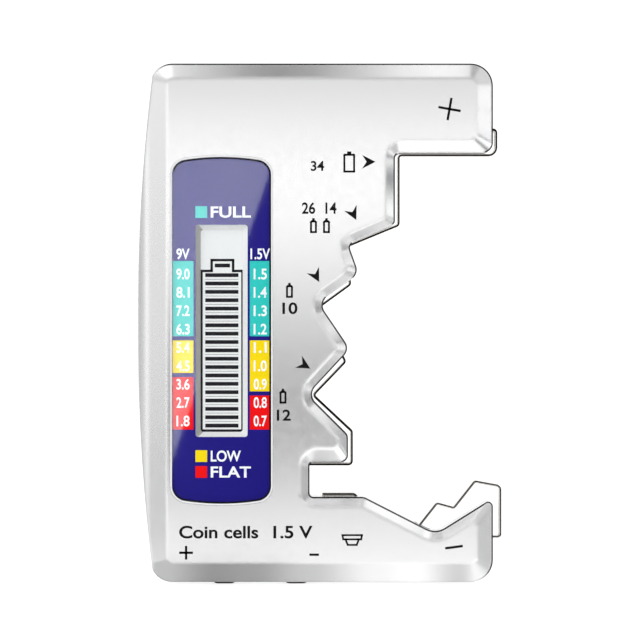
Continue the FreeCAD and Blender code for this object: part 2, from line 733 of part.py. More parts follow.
def negative_spring():
    """A zig-zag leaf that a battery's foot presses down, with both ends inside the case."""
    inside = size.spring_inner_bend
    outside = inside + size.spring_thickness
    tail_x = case_right - size.wall - size.spring_tail
    corners = [
        Corner("foot", size.spring_leg_x - size.spring_foot, size.spring_foot_z, inside),
        Corner("leg_foot", size.spring_leg_x, size.spring_foot_z, inside),
        Corner("leg_bend", size.spring_leg_x, size.spring_leg_bend_z, outside),
        Corner("crest", size.spring_crest_x, size.spring_crest_z, outside),
        Corner("dip", size.spring_dip_x, size.spring_dip_z, inside),
        Corner("top", size.spring_top_x, size.spring_top_z, outside),
        Corner("shoulder", spring_face_x, size.spring_shoulder_z, size.spring_shoulder_bend),
        Corner("heel", spring_face_x, size.spring_tail_z, outside),
        Corner("tail", tail_x, size.spring_tail_z, outside),
    ]
    spring, _slit = bent_strip("negative_spring", corners, -size.spring_thickness, size.spring_width)
    return spring


def spring_slots():
    """Openings in the case for the spring's leg and tail over their whole travel."""
    room = size.spring_clearance
    reach = size.spring_width / 2 + room
    depth = (NOTHING - reach, reach)
    run = size.spring_crest_x - size.spring_leg_x
    rise = size.spring_crest_z - size.spring_leg_bend_z
    fall = (size.slot_floor_z - size.valley_z) / (size.valley_x - size.slope_x)
    sideways = size.spring_travel * run / (rise + fall * run)
    leg_right_x = size.spring_leg_x + size.spring_thickness * 2 + sideways + room * 2
    leg_slot = box("LegSlot", (size.spring_leg_x - room, leg_right_x), depth,
                   (size.valley_z - size.wall * 2, size.spring_leg_bend_z + size.wall))
    tail_top_z = size.spring_tail_z + size.spring_thickness + room
    tail_slot = box("TailSlot", (case_right - size.wall - size.margin, case_right + size.margin), depth,
                    (size.spring_tail_z - size.spring_travel - room, tail_top_z))
    return [leg_slot, tail_slot]


def nine_volt_contact(name, x):
    """A staple of sheet metal over the bottom wall, standing a little below the case."""
    left = x - size.contact_width / 2
    right = x + size.contact_width / 2
    top_z = floor_inside_z + size.contact_leg
    corners = [
        Corner("left_end", left, top_z, size.contact_bend),
        Corner("left_bend", left, NOTHING, size.contact_bend),
        Corner("right_bend", right, NOTHING, size.contact_bend),
        Corner("right_end", right, top_z, size.contact_bend),
    ]
    return bent_strip(name, corners, size.contact_thickness, size.contact_depth)


# Display
def arched_panel(name, y, gap, thickness):
    """A plate with straight sides and gently arched ends, a gap smaller than the lens recess."""
    left = panel_left + gap
    right = panel_left + size.panel_width - gap
    top = panel_bottom + size.panel_height - gap
    bottom = panel_bottom + gap
    middle = (left + right) / 2
    half = (right - left) / 2
    arch = size.panel_arch
    bow = (half * half + arch * arch) / (arch * 2)
    corner = size.panel_corner - gap
    sketch = front_sketch(name + "Outline", y)
    lower_centre = Vector(middle.value, bottom.value + bow.value, 0)
    upper_centre = Vector(middle.value, top.value - bow.value, 0)
    offset = half.value - corner.value
    drop = math.sqrt((bow.value - corner.value) ** 2 - offset ** 2)
    swing = math.atan2(offset, drop)
    quarter = math.pi / 2
    upward = Vector(0, 0, 1)

    def corner_round(side, centre, sign):
        middle_point = centre + Vector(side * offset, sign * drop, 0)
        return Part.Circle(middle_point, upward, corner.value), middle_point

    lower_right, lower_right_centre = corner_round(1, lower_centre, -1)
    upper_right, upper_right_centre = corner_round(1, upper_centre, 1)
    upper_left, upper_left_centre = corner_round(-1, upper_centre, 1)
    lower_left, lower_left_centre = corner_round(-1, lower_centre, -1)
    loop = [
        Part.ArcOfCircle(Part.Circle(lower_centre, upward, bow.value),
                         3 * quarter - swing, 3 * quarter + swing),
        Part.ArcOfCircle(lower_right, 3 * quarter + swing, 4 * quarter),
        Part.LineSegment(Vector(right.value, lower_right_centre.y, 0),
                         Vector(right.value, upper_right_centre.y, 0)),
        Part.ArcOfCircle(upper_right, 0, quarter - swing),
        Part.ArcOfCircle(Part.Circle(upper_centre, upward, bow.value), quarter - swing, quarter + swing),
        Part.ArcOfCircle(upper_left, quarter + swing, 2 * quarter),
        Part.LineSegment(Vector(left.value, upper_left_centre.y, 0),
                         Vector(left.value, lower_left_centre.y, 0)),
        Part.ArcOfCircle(lower_left, 2 * quarter, 3 * quarter - swing),
    ]
    for curve in loop:
        sketch.addGeometry(curve)
    for i in range(len(loop)):
        following = (i + 1) % len(loop)
        sketch.addConstraint(Sketcher.Constraint("Tangent", i, 2, following, 1))
    sketch.addConstraint([Sketcher.Constraint("Vertical", line) for line in (2, 6)])
    for arc in (1, 3, 5, 7):
        dimension(sketch, Sketcher.Constraint("Radius", arc, corner.value), f"corner_{arc}", corner)
    dimension(sketch, Sketcher.Constraint("DistanceX", -1, 1, 2, 1, right.value), "right", right)
    dimension(sketch, Sketcher.Constraint("DistanceX", -1, 1, 6, 1, left.value), "left", left)
    for arc, end, centre_z in ((0, "lower", bottom + bow), (4, "upper", top - bow)):
        dimension(sketch, Sketcher.Constraint("Radius", arc, bow.value), end + "_bow", bow)
        dimension(sketch, Sketcher.Constraint("DistanceX", -1, 1, arc, 3, middle.value),
                  end + "_middle", middle)
        dimension(sketch, Sketcher.Constraint("DistanceY", -1, 1, arc, 3, centre_z.value),
                  end + "_centre", centre_z)
    return extrude(name, sketch, thickness)


def window_outline(name, y, inset):
    """The display window at one depth, its sides moved inwards by the inset."""
    sketch = front_sketch(name, y)
    across = centred(window_x, size.window_width - inset * 2)
    upright = centred(window_z, size.window_height - inset * 2)
    rounded_rectangle(sketch, across, upright, size.window_corner)
    return sketch


def window_opening():
    """The slanted sides of the window in the wall behind the label."""
    outer = window_outline("WindowOuter", label_seat_y, NOTHING)
    inner = window_outline("WindowInner", inside_front_y, size.window_bevel)
    return loft("WindowOpening", [outer, inner])


def scale_label():
    """Printed film in its pocket under the lens, with a hole for the window."""
    film = arched_panel("LabelFilm", label_seat_y, size.lens_ledge + size.lens_clearance,
                        size.label_thickness)
    outline = window_outline("LabelWindow", label_seat_y, NOTHING)
    hole = extrude("LabelHole", outline, size.label_thickness)
    return cut("scale_label", film, [hole])


def display_lens():
    """Clear plate over the label, flush with the face of the case."""
    return arched_panel("display_lens", lens_seat_y, size.lens_clearance, size.lens_thickness)


def centred(middle, length):
    """The two ends of a length about its middle."""
    return middle - length / 2, middle + length / 2


def lcd_panel():
    """Two glasses, the front one longer so that its ends carry the contacts."""
    front_back_y = inside_front_y + size.glass_thickness
    width = centred(window_x, size.lcd_width)
    front = box("FrontGlass", width, (inside_front_y, front_back_y),
                centred(window_z, size.lcd_height))
    rear = box("RearGlass", width, (front_back_y, front_back_y + size.glass_thickness),
               centred(window_z, size.lcd_height - size.lcd_ledge * 2))
    return fuse("lcd_panel", [front, rear])


def lcd_holder():
    """Frame between the front wall and the board that keeps the glass in place."""
    gap = size.holder_clearance * 2
    rim = gap + size.holder_wall * 2
    depth = (inside_front_y, board_front_y)
    outer = box("HolderBlock", centred(window_x, size.lcd_width + rim), depth,
                centred(window_z, size.lcd_height + rim))
    inner = box("HolderWell", centred(window_x, size.lcd_width + gap), depth,
                centred(window_z, size.lcd_height + gap))
    return cut("lcd_holder", outer, [inner])


def zebra_strips():
    """Rubber connectors from the ledges of the glass to the board."""
    depth = (inside_front_y + size.glass_thickness, board_front_y)
    offset = (size.lcd_height - size.lcd_ledge) / 2
    strips = []
    for name, z in (("LowerZebra", window_z - offset), ("UpperZebra", window_z + offset)):
        strips.append(box(name, centred(window_x, size.zebra_length), depth,
                          centred(z, size.zebra_width)))
    return group("zebra_strips", strips)


# Circuit board
def post_places():
    """Where the board is screwed down, at two opposite corners."""
    along = size.board_height / 2 - size.post_inset
    return [(board_left + size.post_inset, window_z + along),
            (board_right - size.post_inset, window_z - along)]


def circuit_board():
    """Board behind the display, on two posts."""
    bottom, top = centred(window_z, size.board_height)
    outline = front_sketch("BoardOutline", board_back_y)
    rounded_rectangle(outline, (board_left, board_right), (bottom, top), size.board_corner)
    plate = extrude("BoardPlate", outline, size.board_thickness)
    holes = [hidden_rod(f"BoardHole{i}", x, z, (board_front_y, board_back_y), size.board_screw_diameter)
             for i, (x, z) in enumerate(post_places())]
    return cut("circuit_board", plate, holes)


def controller_chip():
    """A low blunt cone of potting over the bare chip."""
    potting = doc.addObject("Part::Cone", "controller_chip")
    potting.Placement.Rotation = FreeCAD.Rotation(Vector(1, 0, 0), -90)
    bind(potting, {"Radius1": size.chip_diameter / 2, "Radius2": size.chip_top_diameter / 2,
                   "Height": size.chip_height})
    place(potting, board_x, board_back_y, size.chip_z)
    return potting


def component_row(name, count, pitch, z, height):
    """A row of small parts on the back of the board."""
    parts = []
    for i in range(count):
        x = board_x + pitch * (i - (count - 1) / 2)
        parts.append(box(f"{name}{i}", centred(x, size.component_width),
                         (board_back_y, board_back_y + height), centred(z, size.component_length)))
    return group(name, parts)


# Screws
def screw(name, x, z, seat_y, shank, head):
    """A screw whose head stands on seat_y and looks to the back."""
    shank_diameter, shank_length = shank
    head_diameter, head_height = head
    head_end = seat_y + head_height
    body = hidden_rod(name + "Shank", x, z, (seat_y - shank_length, seat_y), shank_diameter)
    top = rod(name + "Head", x, z, (seat_y, head_end), head_diameter)
    recess_y = (head_end - size.recess_depth, head_end)
    long_side = head_diameter * RECESS_SHARE
    across = box(name + "Across", centred(x, long_side), recess_y, centred(z, size.recess_width))
    upright = box(name + "Upright", centred(x, size.recess_width), recess_y, centred(z, long_side))
    return cut(name, fuse(name + "Blank", [body, top]), [across, upright])


def boss_places():
    """Where the two shells are screwed together."""
    upper_z = case_top - size.upper_boss_drop
    lower_z = case_bottom + size.lower_boss_rise
    left_x = face_left + size.left_boss_inset
    return [(left_x, upper_z), (left_x, lower_z),
            (case_right - size.arm_boss_inset, upper_z), (size.lower_right_boss_x, lower_z)]


def case_screws():
    """Four screws through the rear shell into the front one."""
    shank = (size.case_screw_diameter, size.case_screw_length)
    head = (size.case_screw_head, size.case_screw_head_height)
    screws = [screw(f"CaseScrew{i}", x, z, screw_seat_y, shank, head)
              for i, (x, z) in enumerate(boss_places())]
    return group("case_screws", screws)


def board_screws():
    """Screws through the board into its posts."""
    shank = (size.board_screw_diameter, size.board_screw_length)
    head = (size.board_screw_head, size.board_screw_head_height)
    screws = [screw(f"BoardScrew{i}", x, z, board_back_y, shank, head)
              for i, (x, z) in enumerate(post_places())]
    return group("board_screws", screws)


# Shells
def front_shell(form, hollow, slits):
    """Front half of the case, with the lens recess, the window and the posts for the board."""
    recess = arched_panel("LensRecess", lens_seat_y, NOTHING, size.lens_thickness + size.margin)
    pocket = arched_panel("LabelPocket", label_seat_y, size.lens_ledge,
                          size.label_thickness + size.label_gap)
    walls = cut("FrontWalls", form, [hollow, recess, pocket, window_opening()])
    bosses = [hidden_rod(f"FrontBoss{i}", x, z, (inside_front_y, NOTHING), size.boss_diameter)
              for i, (x, z) in enumerate(boss_places())]
    posts = [hidden_rod(f"Post{i}", x, z, (inside_front_y, board_front_y), size.post_diameter)
             for i, (x, z) in enumerate(post_places())]
    shank_end_y = screw_seat_y - size.case_screw_length
    pilots = [hidden_rod(f"Pilot{i}", x, z, (shank_end_y, NOTHING), size.case_screw_diameter)
              for i, (x, z) in enumerate(boss_places())]
    post_end_y = board_back_y - size.board_screw_length
    pilots += [hidden_rod(f"PostPilot{i}", x, z, (post_end_y, board_front_y), size.board_screw_diameter)
               for i, (x, z) in enumerate(post_places())]
    return cut("front_shell", fuse("FrontBlank", [walls] + bosses + posts), pilots + slits)


def rear_shell(form, hollow, slits):
    """Rear half of the case, with counterbored bosses for the screws."""
    walls = cut("RearWalls", form, [hollow])
    bosses = [hidden_rod(f"RearBoss{i}", x, z, (NOTHING, inside_back_y), size.boss_diameter)
              for i, (x, z) in enumerate(boss_places())]
    bores = [hidden_rod(f"Bore{i}", x, z, (NOTHING, screw_seat_y), size.case_screw_bore)
             for i, (x, z) in enumerate(boss_places())]
    bores += [rod(f"Counterbore{i}", x, z, (screw_seat_y, half_depth + size.margin), size.counterbore)
              for i, (x, z) in enumerate(boss_places())]
    return cut("rear_shell", fuse("RearBlank", [walls] + bosses), bores + slits)


# Wires
def bent_route(points):
    """Straight runs with each corner between them cut off."""
    route = [points[0]]
    for before, point, after in zip(points, points[1:], points[2:]):
        reach = BEND_SHARE * min((point - before).Length, (after - point).Length)
        route.append(point + direction(point, before) * reach)
        route.append(point + direction(point, after) * reach)
    route.append(points[-1])
    return Part.makePolygon(route)


def ring(centre, axis, radius):
    """Corners of a closed polygon round an axis."""
    spoke = axis.cross(Vector(1, 0, 0)).normalize() * radius
    step = 360 / WIRE_SIDES
    return [centre + FreeCAD.Rotation(axis, step * i).multVec(spoke) for i in range(WIRE_SIDES + 1)]


def wire(name, places):
    """An insulated wire along hand-picked points."""
    points = [Vector(x.value, y.value, z.value) for x, y, z in places]
    route = bent_route(points)
    start_direction = direction(points[0], points[1])
    section = Part.makePolygon(ring(points[0], start_direction, size.wire_diameter.value / 2))
    strand = doc.addObject("Part::Feature", name)
    strand.Shape = route.makePipeShell([section], True, False, MITRED)
    print(f"{name}: {route.Length:.1f} mm long")
    return strand


def wires():
    """Four wires from the board to the contacts."""
    behind_y = board_back_y + size.wire_rise
    lower_pad_z = board_bottom_z + size.pad_rise
    leg_top_z = floor_inside_z + size.contact_leg
    half_sheet = size.contact_thickness / 2
    positive_leg_x = size.nine_volt_x - size.nine_volt_pitch / 2 + size.contact_width / 2 - half_sheet
    negative_leg_x = size.nine_volt_x + size.nine_volt_pitch / 2 - size.contact_width / 2 + half_sheet
    made = []
    for name, leg_x in (("wire_nine_volt_positive", positive_leg_x),
                        ("wire_nine_volt_negative", negative_leg_x)):
        pad_x = (leg_x + board_x * 2) / 3
        contact_y = size.contact_depth / 4
        made.append(wire(name, [(pad_x, board_back_y, lower_pad_z), (pad_x, behind_y, lower_pad_z),
                                (leg_x, contact_y, leg_top_z + size.wire_rise),
                                (leg_x, contact_y, leg_top_z)]))
    strip_top_z = size.slot_top_z - size.strip_proud_slot + size.strip_thickness
    tail_x = strip_end_x + size.strip_tail / 2
    positive_z = board_bottom_z + size.positive_pad_rise
    right_pad_x = (board_x + board_right) / 2
    strip_y = size.strip_width / 4
    made.append(wire("wire_positive", [(right_pad_x, board_back_y, positive_z),
                                       (right_pad_x, behind_y, positive_z),
                                       (tail_x, strip_y, strip_top_z + size.wire_rise),
                                       (tail_x, strip_y, strip_top_z)]))
    negative_z = board_bottom_z + size.negative_pad_rise
    tail_back_x = plate_front_x - size.plate_thickness
    tail_z = size.slot_floor_z - size.plate_tail + size.wire_diameter
    turn_x = size.slot_back_x - size.wall - size.wire_rise / 2
    near_y = board_back_y + size.wire_rise / 2
    made.append(wire("wire_negative", [(right_pad_x, board_back_y, negative_z),
                                       (right_pad_x, near_y, negative_z),
                                       (turn_x, -strip_y, tail_z),
                                       (tail_back_x, -strip_y, tail_z)]))
    return made


def build():
    """Make every sub-part, label it and return them by name."""
    form, hollow = half_case()
    strip, strip_slit = positive_strip()
    plate, plate_slit = button_cell_plate()
    half_pitch = size.nine_volt_pitch / 2
    plus, plus_slit = nine_volt_contact("nine_volt_contact_positive", size.nine_volt_x - half_pitch)
    minus, minus_slit = nine_volt_contact("nine_volt_contact_negative", size.nine_volt_x + half_pitch)
    slits = [strip_slit, plate_slit, plus_slit, minus_slit] + spring_slots()
    front = front_shell(form, hollow, slits)
    rear = rear_shell(mirrored("RearForm", form), mirrored("RearHollow", hollow), slits)
    resistors = component_row("smd_resistors", RESISTOR_COUNT, size.resistor_pitch, size.resistor_z,
                              size.resistor_height)
    capacitors = component_row("smd_capacitors", CAPACITOR_COUNT, size.capacitor_pitch,
                               size.capacitor_z, size.capacitor_height)
    return [front, rear, case_screws(), display_lens(), scale_label(), lcd_panel(), lcd_holder(),
            zebra_strips(), circuit_board(), controller_chip(), resistors, capacitors, board_screws(),
            strip, negative_spring(), plate, plus, minus] + wires()


def check(sub_parts):
    """Stop if any object failed or any sub-part has no sound shape."""
    for thing in doc.Objects:
        if {"Invalid", "Error"} & set(thing.State):
            raise RuntimeError(f"{thing.Name} did not build: {thing.State}")
    for sub_part in sub_parts:
        shape = sub_part.Shape
        if shape.isNull() or not shape.isValid():
            raise RuntimeError(f"{sub_part.Label} has no sound shape")


def main():
    """Build the document and write one file for each sub-part."""
    sub_parts = build()
    doc.recompute()
    check(sub_parts)
    os.makedirs("parts", exist_ok=True)
    for sub_part in sub_parts:
        sub_part.Label = sub_part.Name
        sub_part.Shape.exportStep(f"parts/{sub_part.Label}.step")
        print(f"{sub_part.Label}: {len(sub_part.Shape.Solids)} solids, {sub_part.Shape.Volume:.1f} mm3")


main()
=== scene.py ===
"""Looks of the pocket battery tester: finishes, printed marks, display segments, light and camera."""

import math

import bmesh
import bpy
from mathutils import Matrix, Vector


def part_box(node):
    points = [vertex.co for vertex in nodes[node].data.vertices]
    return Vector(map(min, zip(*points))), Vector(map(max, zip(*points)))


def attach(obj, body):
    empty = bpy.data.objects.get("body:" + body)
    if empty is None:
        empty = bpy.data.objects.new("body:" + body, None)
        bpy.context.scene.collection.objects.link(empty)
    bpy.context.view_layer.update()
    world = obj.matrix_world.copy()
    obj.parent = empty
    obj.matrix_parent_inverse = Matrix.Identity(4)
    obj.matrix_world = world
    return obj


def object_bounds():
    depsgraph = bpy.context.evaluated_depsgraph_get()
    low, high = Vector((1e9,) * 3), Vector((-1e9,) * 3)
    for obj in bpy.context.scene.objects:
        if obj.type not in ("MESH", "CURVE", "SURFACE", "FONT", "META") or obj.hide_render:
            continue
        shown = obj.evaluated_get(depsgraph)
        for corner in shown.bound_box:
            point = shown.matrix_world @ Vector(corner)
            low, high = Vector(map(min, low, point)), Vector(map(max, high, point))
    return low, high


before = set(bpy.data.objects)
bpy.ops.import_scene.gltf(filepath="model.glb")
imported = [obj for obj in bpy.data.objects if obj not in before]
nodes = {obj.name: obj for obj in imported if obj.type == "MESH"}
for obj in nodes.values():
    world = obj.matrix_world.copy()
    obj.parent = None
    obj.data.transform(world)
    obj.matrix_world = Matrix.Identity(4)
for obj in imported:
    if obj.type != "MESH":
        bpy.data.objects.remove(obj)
bpy.context.view_layer.update()
cad_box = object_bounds()

# Places and lengths are in millimetres of the frame, seen from the front: X across, Z up
MM = 0.001
FACE_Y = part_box("front_shell")[0].y / MM
LABEL_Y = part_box("scale_label")[0].y / MM
GLASS_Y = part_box("lcd_panel")[0].y / MM
FLOOR_Z = cad_box[0].z
# Each printed layer stands this far in front of what it is printed on
INK = 0.012
# Rounding of the moulded edges, and the line where the shells part
SOFT_EDGE = 1.0
SEAM = 0.14
# The recess of the lens keeps sharp edges: middle and half of the field round it
SHARP_X = (-17.2, 10.0)
SHARP_Z = (45.55, 32.6)
# Painted shadow line along the foot of the bevels, and where it fades in: a direction, and two places along
# it
BEVEL_FOOT = 9.2
BEVEL_SHADOW_WIDTH = 0.29
EDGE_BLUR = 0.05
EDGE_FADES = (((0, 0, 1), 0.6, 2.5), ((1, 0, 0), -29.5, -27.0))
# Bevels that look down as steeply as this have no dark line
UNDERSIDE = (-0.56, -0.52)
# Nor have walls that face the front as little as this, or places this far behind the foot
WALL = (0.1, 0.2)
FOOT_BLUR = 0.02
# Reach of the painted shadow on one side of a sheet's cut edge; on the strip and on the spring, which side
# that is and how far it goes past the middle
SHEET_LINE = 0.3
STRIP_SIDE = ((0.9, 0, -0.45), 0.2)
SPRING_SIDE = ((0.5, 0, 0.87), 0.1)
# How squarely a cut edge looks to the front or back, and how soon its painted shadow is full
CUT_FACING = (0.8, 0.95)
SIDE_BLUR = 0.12
# Painted shadow line along the edge of the label, which the straight left side lacks, and painted highlight
# along the rim of the lens
LABEL_SHADOW_WIDTH = 0.3
LABEL_SHADOW_LEFT_X = -26.3
LENS_HIGHLIGHT = 0.26

# Noise stays mostly between these two values
NOISE_SPAN = (0.3, 0.7)
# Two shades of the pearl plastic, its parting line, and the painted shadow line along its bevels
PEARL = ((0.80, 0.80, 0.81, 1), (0.87, 0.87, 0.875, 1))
SEAM_SHADE = (0.18, 0.18, 0.19, 1)
BEVEL_SHADOW_PAINT = (0.006, 0.006, 0.007, 1)
# Two shades of the nickel, two of the painted shadow on its cut edges, and how its brushing is stretched
NICKEL = ((0.70, 0.68, 0.64, 1), (0.80, 0.78, 0.75, 1))
CUT_EDGE_SHADOW = ((0.008, 0.006, 0.005, 1), (0.020, 0.015, 0.012, 1))
BRUSHED = (1, 0.05, 1)
# Share of the light that the lens mirrors square on, and the power by which that grows at a slant
LENS_GLOSS = 0.04
GLOSS_POWER = 5

# Scale on the label: one row of numbers for each step, from full to flat
SCALE_TOP_Z = 55.64
SCALE_PITCH = 3.293
FIELD_TOP_Z = 57.97
FIELD_BOTTOM_Z = 27.75
FIELD_GAP = 0.75
HEADING_Z = 59.25
DIGIT_HEIGHT = 1.95
DIGITS_WIDTH = 2.36
LEFT_COLUMN = (-26.35, -22.6)
RIGHT_COLUMN = (-12.5, -8.75)
# Heading of each column, and its width
LEFT_HEADING = ("9V", 2.36)
RIGHT_HEADING = ("1.5V", 3.5)
LEFT_NUMBERS = ("9.0", "8.1", "7.2", "6.3", "5.4", "4.5", "3.6", "2.7", "1.8")
RIGHT_NUMBERS = ("1.5", "1.4", "1.3", "1.2", "1.1", "1.0", "0.9", "0.8", "0.7")
# Last row of the full, the low and the flat field
LEFT_FIELD_ENDS = (4, 6, 9)
RIGHT_FIELD_ENDS = (4, 7, 9)

# Legend: side and middle of the square, the start of the word beside it, and the size of its letters
LEGEND_SIDE = 2.1
LEGEND_X = -21.2
LEGEND_WORD_X = -19.5
LEGEND_HEIGHT = 2.0
LEGEND_LETTER = 1.8
LEGEND = (("full", "FULL", 66.75), ("low", "LOW", 23.0), ("flat", "FLAT", 20.15))

# Window in the wall behind the label, how far its sides slant in, and the radius and steps of its corners
WINDOW = (-22.24, 26.43, -12.88, 64.46)
WINDOW_SLANT = 0.9
WINDOW_CORNER = 0.5
WINDOW_STEPS = 5
# Corners of the label this close to the window belong to its cut-out
WINDOW_MARGIN = 1
WINDOW_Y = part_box("scale_label")[1].y / MM
WINDOW_MIDDLE = Vector(((WINDOW[0] + WINDOW[2]) / 2, (WINDOW[1] + WINDOW[3]) / 2))

# Display: the cell's outline, its nub and the bars in it
CELL = (-21.18, 27.55, -13.82, 56.2)
NUB = (-19.35, 56.2, -15.5, 58.15)
NUB_GAP = 0.55
BAR_X = (-20.5, -14.55)
BAR_COUNT = 19
BAR_TOP_Z = 55.45
BAR_PITCH = 1.5
BAR_HEIGHT = 0.68
CELL_LINE = 0.45
HAIR_LINE = 0.1

# Marks on the face: arrows are tip, direction in degrees
LINE = 0.36
ARROWS = (((10.05, 75.75), 0), ((6.6, 65.3), -64), ((-0.05, 54.2), -62), ((-1.65, 38.7), -30))
ARROW_LENGTH = 2.45
ARROW_WIDTH = 2.5
ARROW_NOTCH = 0.85
# Cell drawings: middle, width and height without the nub, height of the shoulders and width of the nub
CELL_MARKS = ((5.33, 75.5, 1.75, 3.0, 0.1, 0.75), (-1.08, 64.1, 0.88, 1.9, 0.15, 0.46),
              (1.25, 64.1, 0.88, 1.9, 0.15, 0.46), (-5.38, 52.5, 0.88, 1.9, 0.15, 0.46),
              (-6.54, 33.55, 0.88, 1.9, 0.15, 0.46))
NUB_HEIGHT = 0.6
# Diameters of the cells in millimetres, as plain numbers: text, middle, height, width
CELL_NUMBERS = (("34", (-0.36, 75.0), 1.8, 2.4), ("26  14", (-0.05, 67.45), 2.1, 6.2),
                ("10", (-5.3, 49.5), 2.1, 2.7), ("12", (-6.4, 30.35), 2.0, 2.5))
COIN_LINE = ("Coin cells  1.5 V", (-13.2, 9.4), 2.3, 23.9)
COIN_MARK = (5.86, 8.55)
COIN_STROKE = 0.34
# Its rim and can: heights of the top and bottom, and half their widths
COIN_STEPS = ((0.3, -0.45, 1.75, 1.6), (-0.45, -1.45, 1.2, 0.8))
# Signs: middle, length, turn in degrees, and width of the line
PLUS_MARKS = (((23.3, 85.2), 3.6, -10, 0.44), ((-23.9, 5.7), 2.05, 0, 0.42))
MINUS_MARKS = (((24.1, 6.7), 2.75, 7.5, 0.44), ((-0.95, 5.35), 1.3, 0, 0.42))
# Lettering on the label and on the face is made bolder by these shares of its height
LABEL_BOLD = 0.02
FACE_BOLD = 0.022

# Camera: what the photograph's width covers at the face of the case, and its middle
PHOTO_WIDTH = 114.67
PHOTO_MIDDLE = (0.09, 47.4)
LENS = 500
SENSOR = 36

# Floor: its radius in metres, its number of sides and its glow
FLOOR_RADIUS = 60
FLOOR_SIDES = 96
FLOOR_GLOW = 0.45

# Surroundings: stops of a share of the way from front to back and a grey, and the strength of all
WORLD_STOPS = ((0.0, 0.5), (0.27, 0.6), (0.5, 0.88), (0.75, 0.45), (0.93, 1.0))
WORLD_STRENGTH = 1.15

# Lamp whose gloss shows on the label: its middle and size in metres, radiance, and roll in degrees
GLOSS_PLACE = (-0.0475, -0.13, 0.0576)
GLOSS_SIZE = (0.06, 0.12)
GLOSS_RADIANCE = 6.0
GLOSS_ROLL = -18.7
# Lamp of the label and the display: its middle, the point it looks at, its side and radiance
LAMP_PLACE = (-0.22, -0.30, 0.30)
LAMP_AIM = (-0.018, 0, 0.045)
LAMP_SIDE = 0.25
LAMP_RADIANCE = 4.6

# Cards that the case mirrors, in metres: name, corner, the side across, the side along which the card is
# shaded, strength, and stops of a share of that side and a grey
UPWARD = (0, 0, 0.12)
CARDS = (
    ("floor_card", (-0.06, -0.045, 0.0001), (0, 0.037, 0), (0.235, 0, 0), 1.4,
     ((0.136, 0.36), (0.175, 0.15), (0.204, 0.20), (0.247, 0.43), (0.298, 0.80), (0.328, 0.90),
      (0.363, 0.50), (0.378, 0.84), (0.409, 0.45), (0.56, 0.36), (0.88, 0.28))),
    ("arm_card", (-0.005, -0.045, 0.0002), (0, 0.023, 0), (0.055, 0, 0), 1.7, ((0.0, 0.9), (0.5, 1.0))),
    ("left_front_card", (-0.19, -0.16, 0.0), (0.11, 0, 0), UPWARD, 1.5, ((0.0, 0.95), (1.0, 1.0))),
    ("slope_card", (0.036, -0.03, 0.085), (0.022, 0, 0), (0, 0.05, 0), 1.4, ((0.0, 0.95), (1.0, 1.0))),
    ("wall_card", (0.0335, -0.02, 0.0652), (0, 0.02, 0), (0, 0, 0.0135), 1.3,
     ((0.20, 1.0), (0.36, 0.60), (0.52, 0.16), (0.64, 0.08), (0.75, 0.55), (0.85, 1.0))),
    ("front_card", (-0.08, -0.16, 0.0), (0.18, 0, 0), UPWARD, 1.45,
     ((0.0, 0.86), (0.07, 0.76), (0.14, 0.38), (0.20, 0.14), (0.29, 0.17), (0.43, 0.58), (0.55, 0.94),
      (0.66, 1.0), (0.80, 0.46))),
    ("top_card", (-0.13, -0.055, 0.155), (0, 0.05, 0), (0.19, 0, 0), 1.4,
     ((0.50, 1.0), (0.56, 0.48), (0.634, 0.12), (0.672, 0.18), (0.722, 0.46), (0.773, 0.80),
      (0.822, 1.0), (0.855, 0.30))),
    ("left_card", (-0.158, -0.022, 0.0), (0.047, -0.088, 0), UPWARD, 1.4,
     ((0.06, 0.34), (0.42, 0.54), (0.80, 0.66))),
    ("left_band", (-0.132, -0.051, 0.0), (-0.006, 0.022, 0), UPWARD, 1.2, ((0.0, 0.8), (0.5, 1.0))),
    ("left_rim", (-0.16, -0.02, 0.0), (0, 0, 0.12), (0, 0.19, 0), 1.4,
     ((0.0, 0.58), (0.10, 0.46), (0.47, 0.36), (1.0, 0.55))),
    ("right_card", (0.1165, -0.107, 0.0), (0.0325, 0.0584, 0), UPWARD, 1.4,
     ((0.14, 0.34), (0.62, 0.38), (0.69, 0.95), (0.78, 0.95), (0.84, 0.45))),
    ("peak_card", (0.152, -0.046, 0.0), (0.013, 0.025, 0), (0, 0, 0.25), 1.4, ((0.0, 0.95), (1.0, 1.0))),
    ("bay_card", (0.17, -0.018, 0.0), (0, 0.07, 0), (0, 0, 0.25), 1.4,
     ((0.0, 0.28), (0.24, 0.20), (0.29, 0.09), (0.40, 0.12), (1.0, 0.2))),
)
# Cards on the floor show in reflections alone
FLOOR_CARDS = ("floor_card", "arm_card")


# Node helpers
def feed(tree, socket, value):
    """Set a socket, or link another socket to it."""
    if isinstance(value, bpy.types.NodeSocket):
        tree.links.new(value, socket)
    else:
        socket.default_value = value


def add_node(tree, kind, inputs, **settings):
    """Add a shader node with its settings and inputs."""
    made = tree.nodes.new("ShaderNode" + kind)
    for name, value in settings.items():
        setattr(made, name, value)
    for name, value in inputs.items():
        feed(tree, made.inputs[name], value)
    return made


def object_place(tree, stretch=(1, 1, 1)):
    """The point on the object in its own frame, stretched along each axis."""
    place = add_node(tree, "TexCoord", {}).outputs["Object"]
    return add_node(tree, "Mapping", {"Vector": place, "Scale": stretch}).outputs["Vector"]


def grain(tree, size, stretch=(1, 1, 1), detail=3):
    """Noise whose blotches have about the given size in millimetres."""
    noise = add_node(tree, "TexNoise", {"Vector": object_place(tree, stretch), "Scale": 1 / (size * MM),
                                        "Detail": detail})
    return noise.outputs["Fac"]


def spread(tree, value, low, high):
    """Map noise to a range."""
    first, last = NOISE_SPAN
    mapped = add_node(tree, "MapRange", {"Value": value, "From Min": first, "From Max": last,
                                         "To Min": low, "To Max": high})
    return mapped.outputs["Result"]


def mix_colours(tree, share, first, second):
    """Blend two colours by a share."""
    mixed = add_node(tree, "Mix", {0: share, 6: first, 7: second}, data_type="RGBA")
    return mixed.outputs[2]


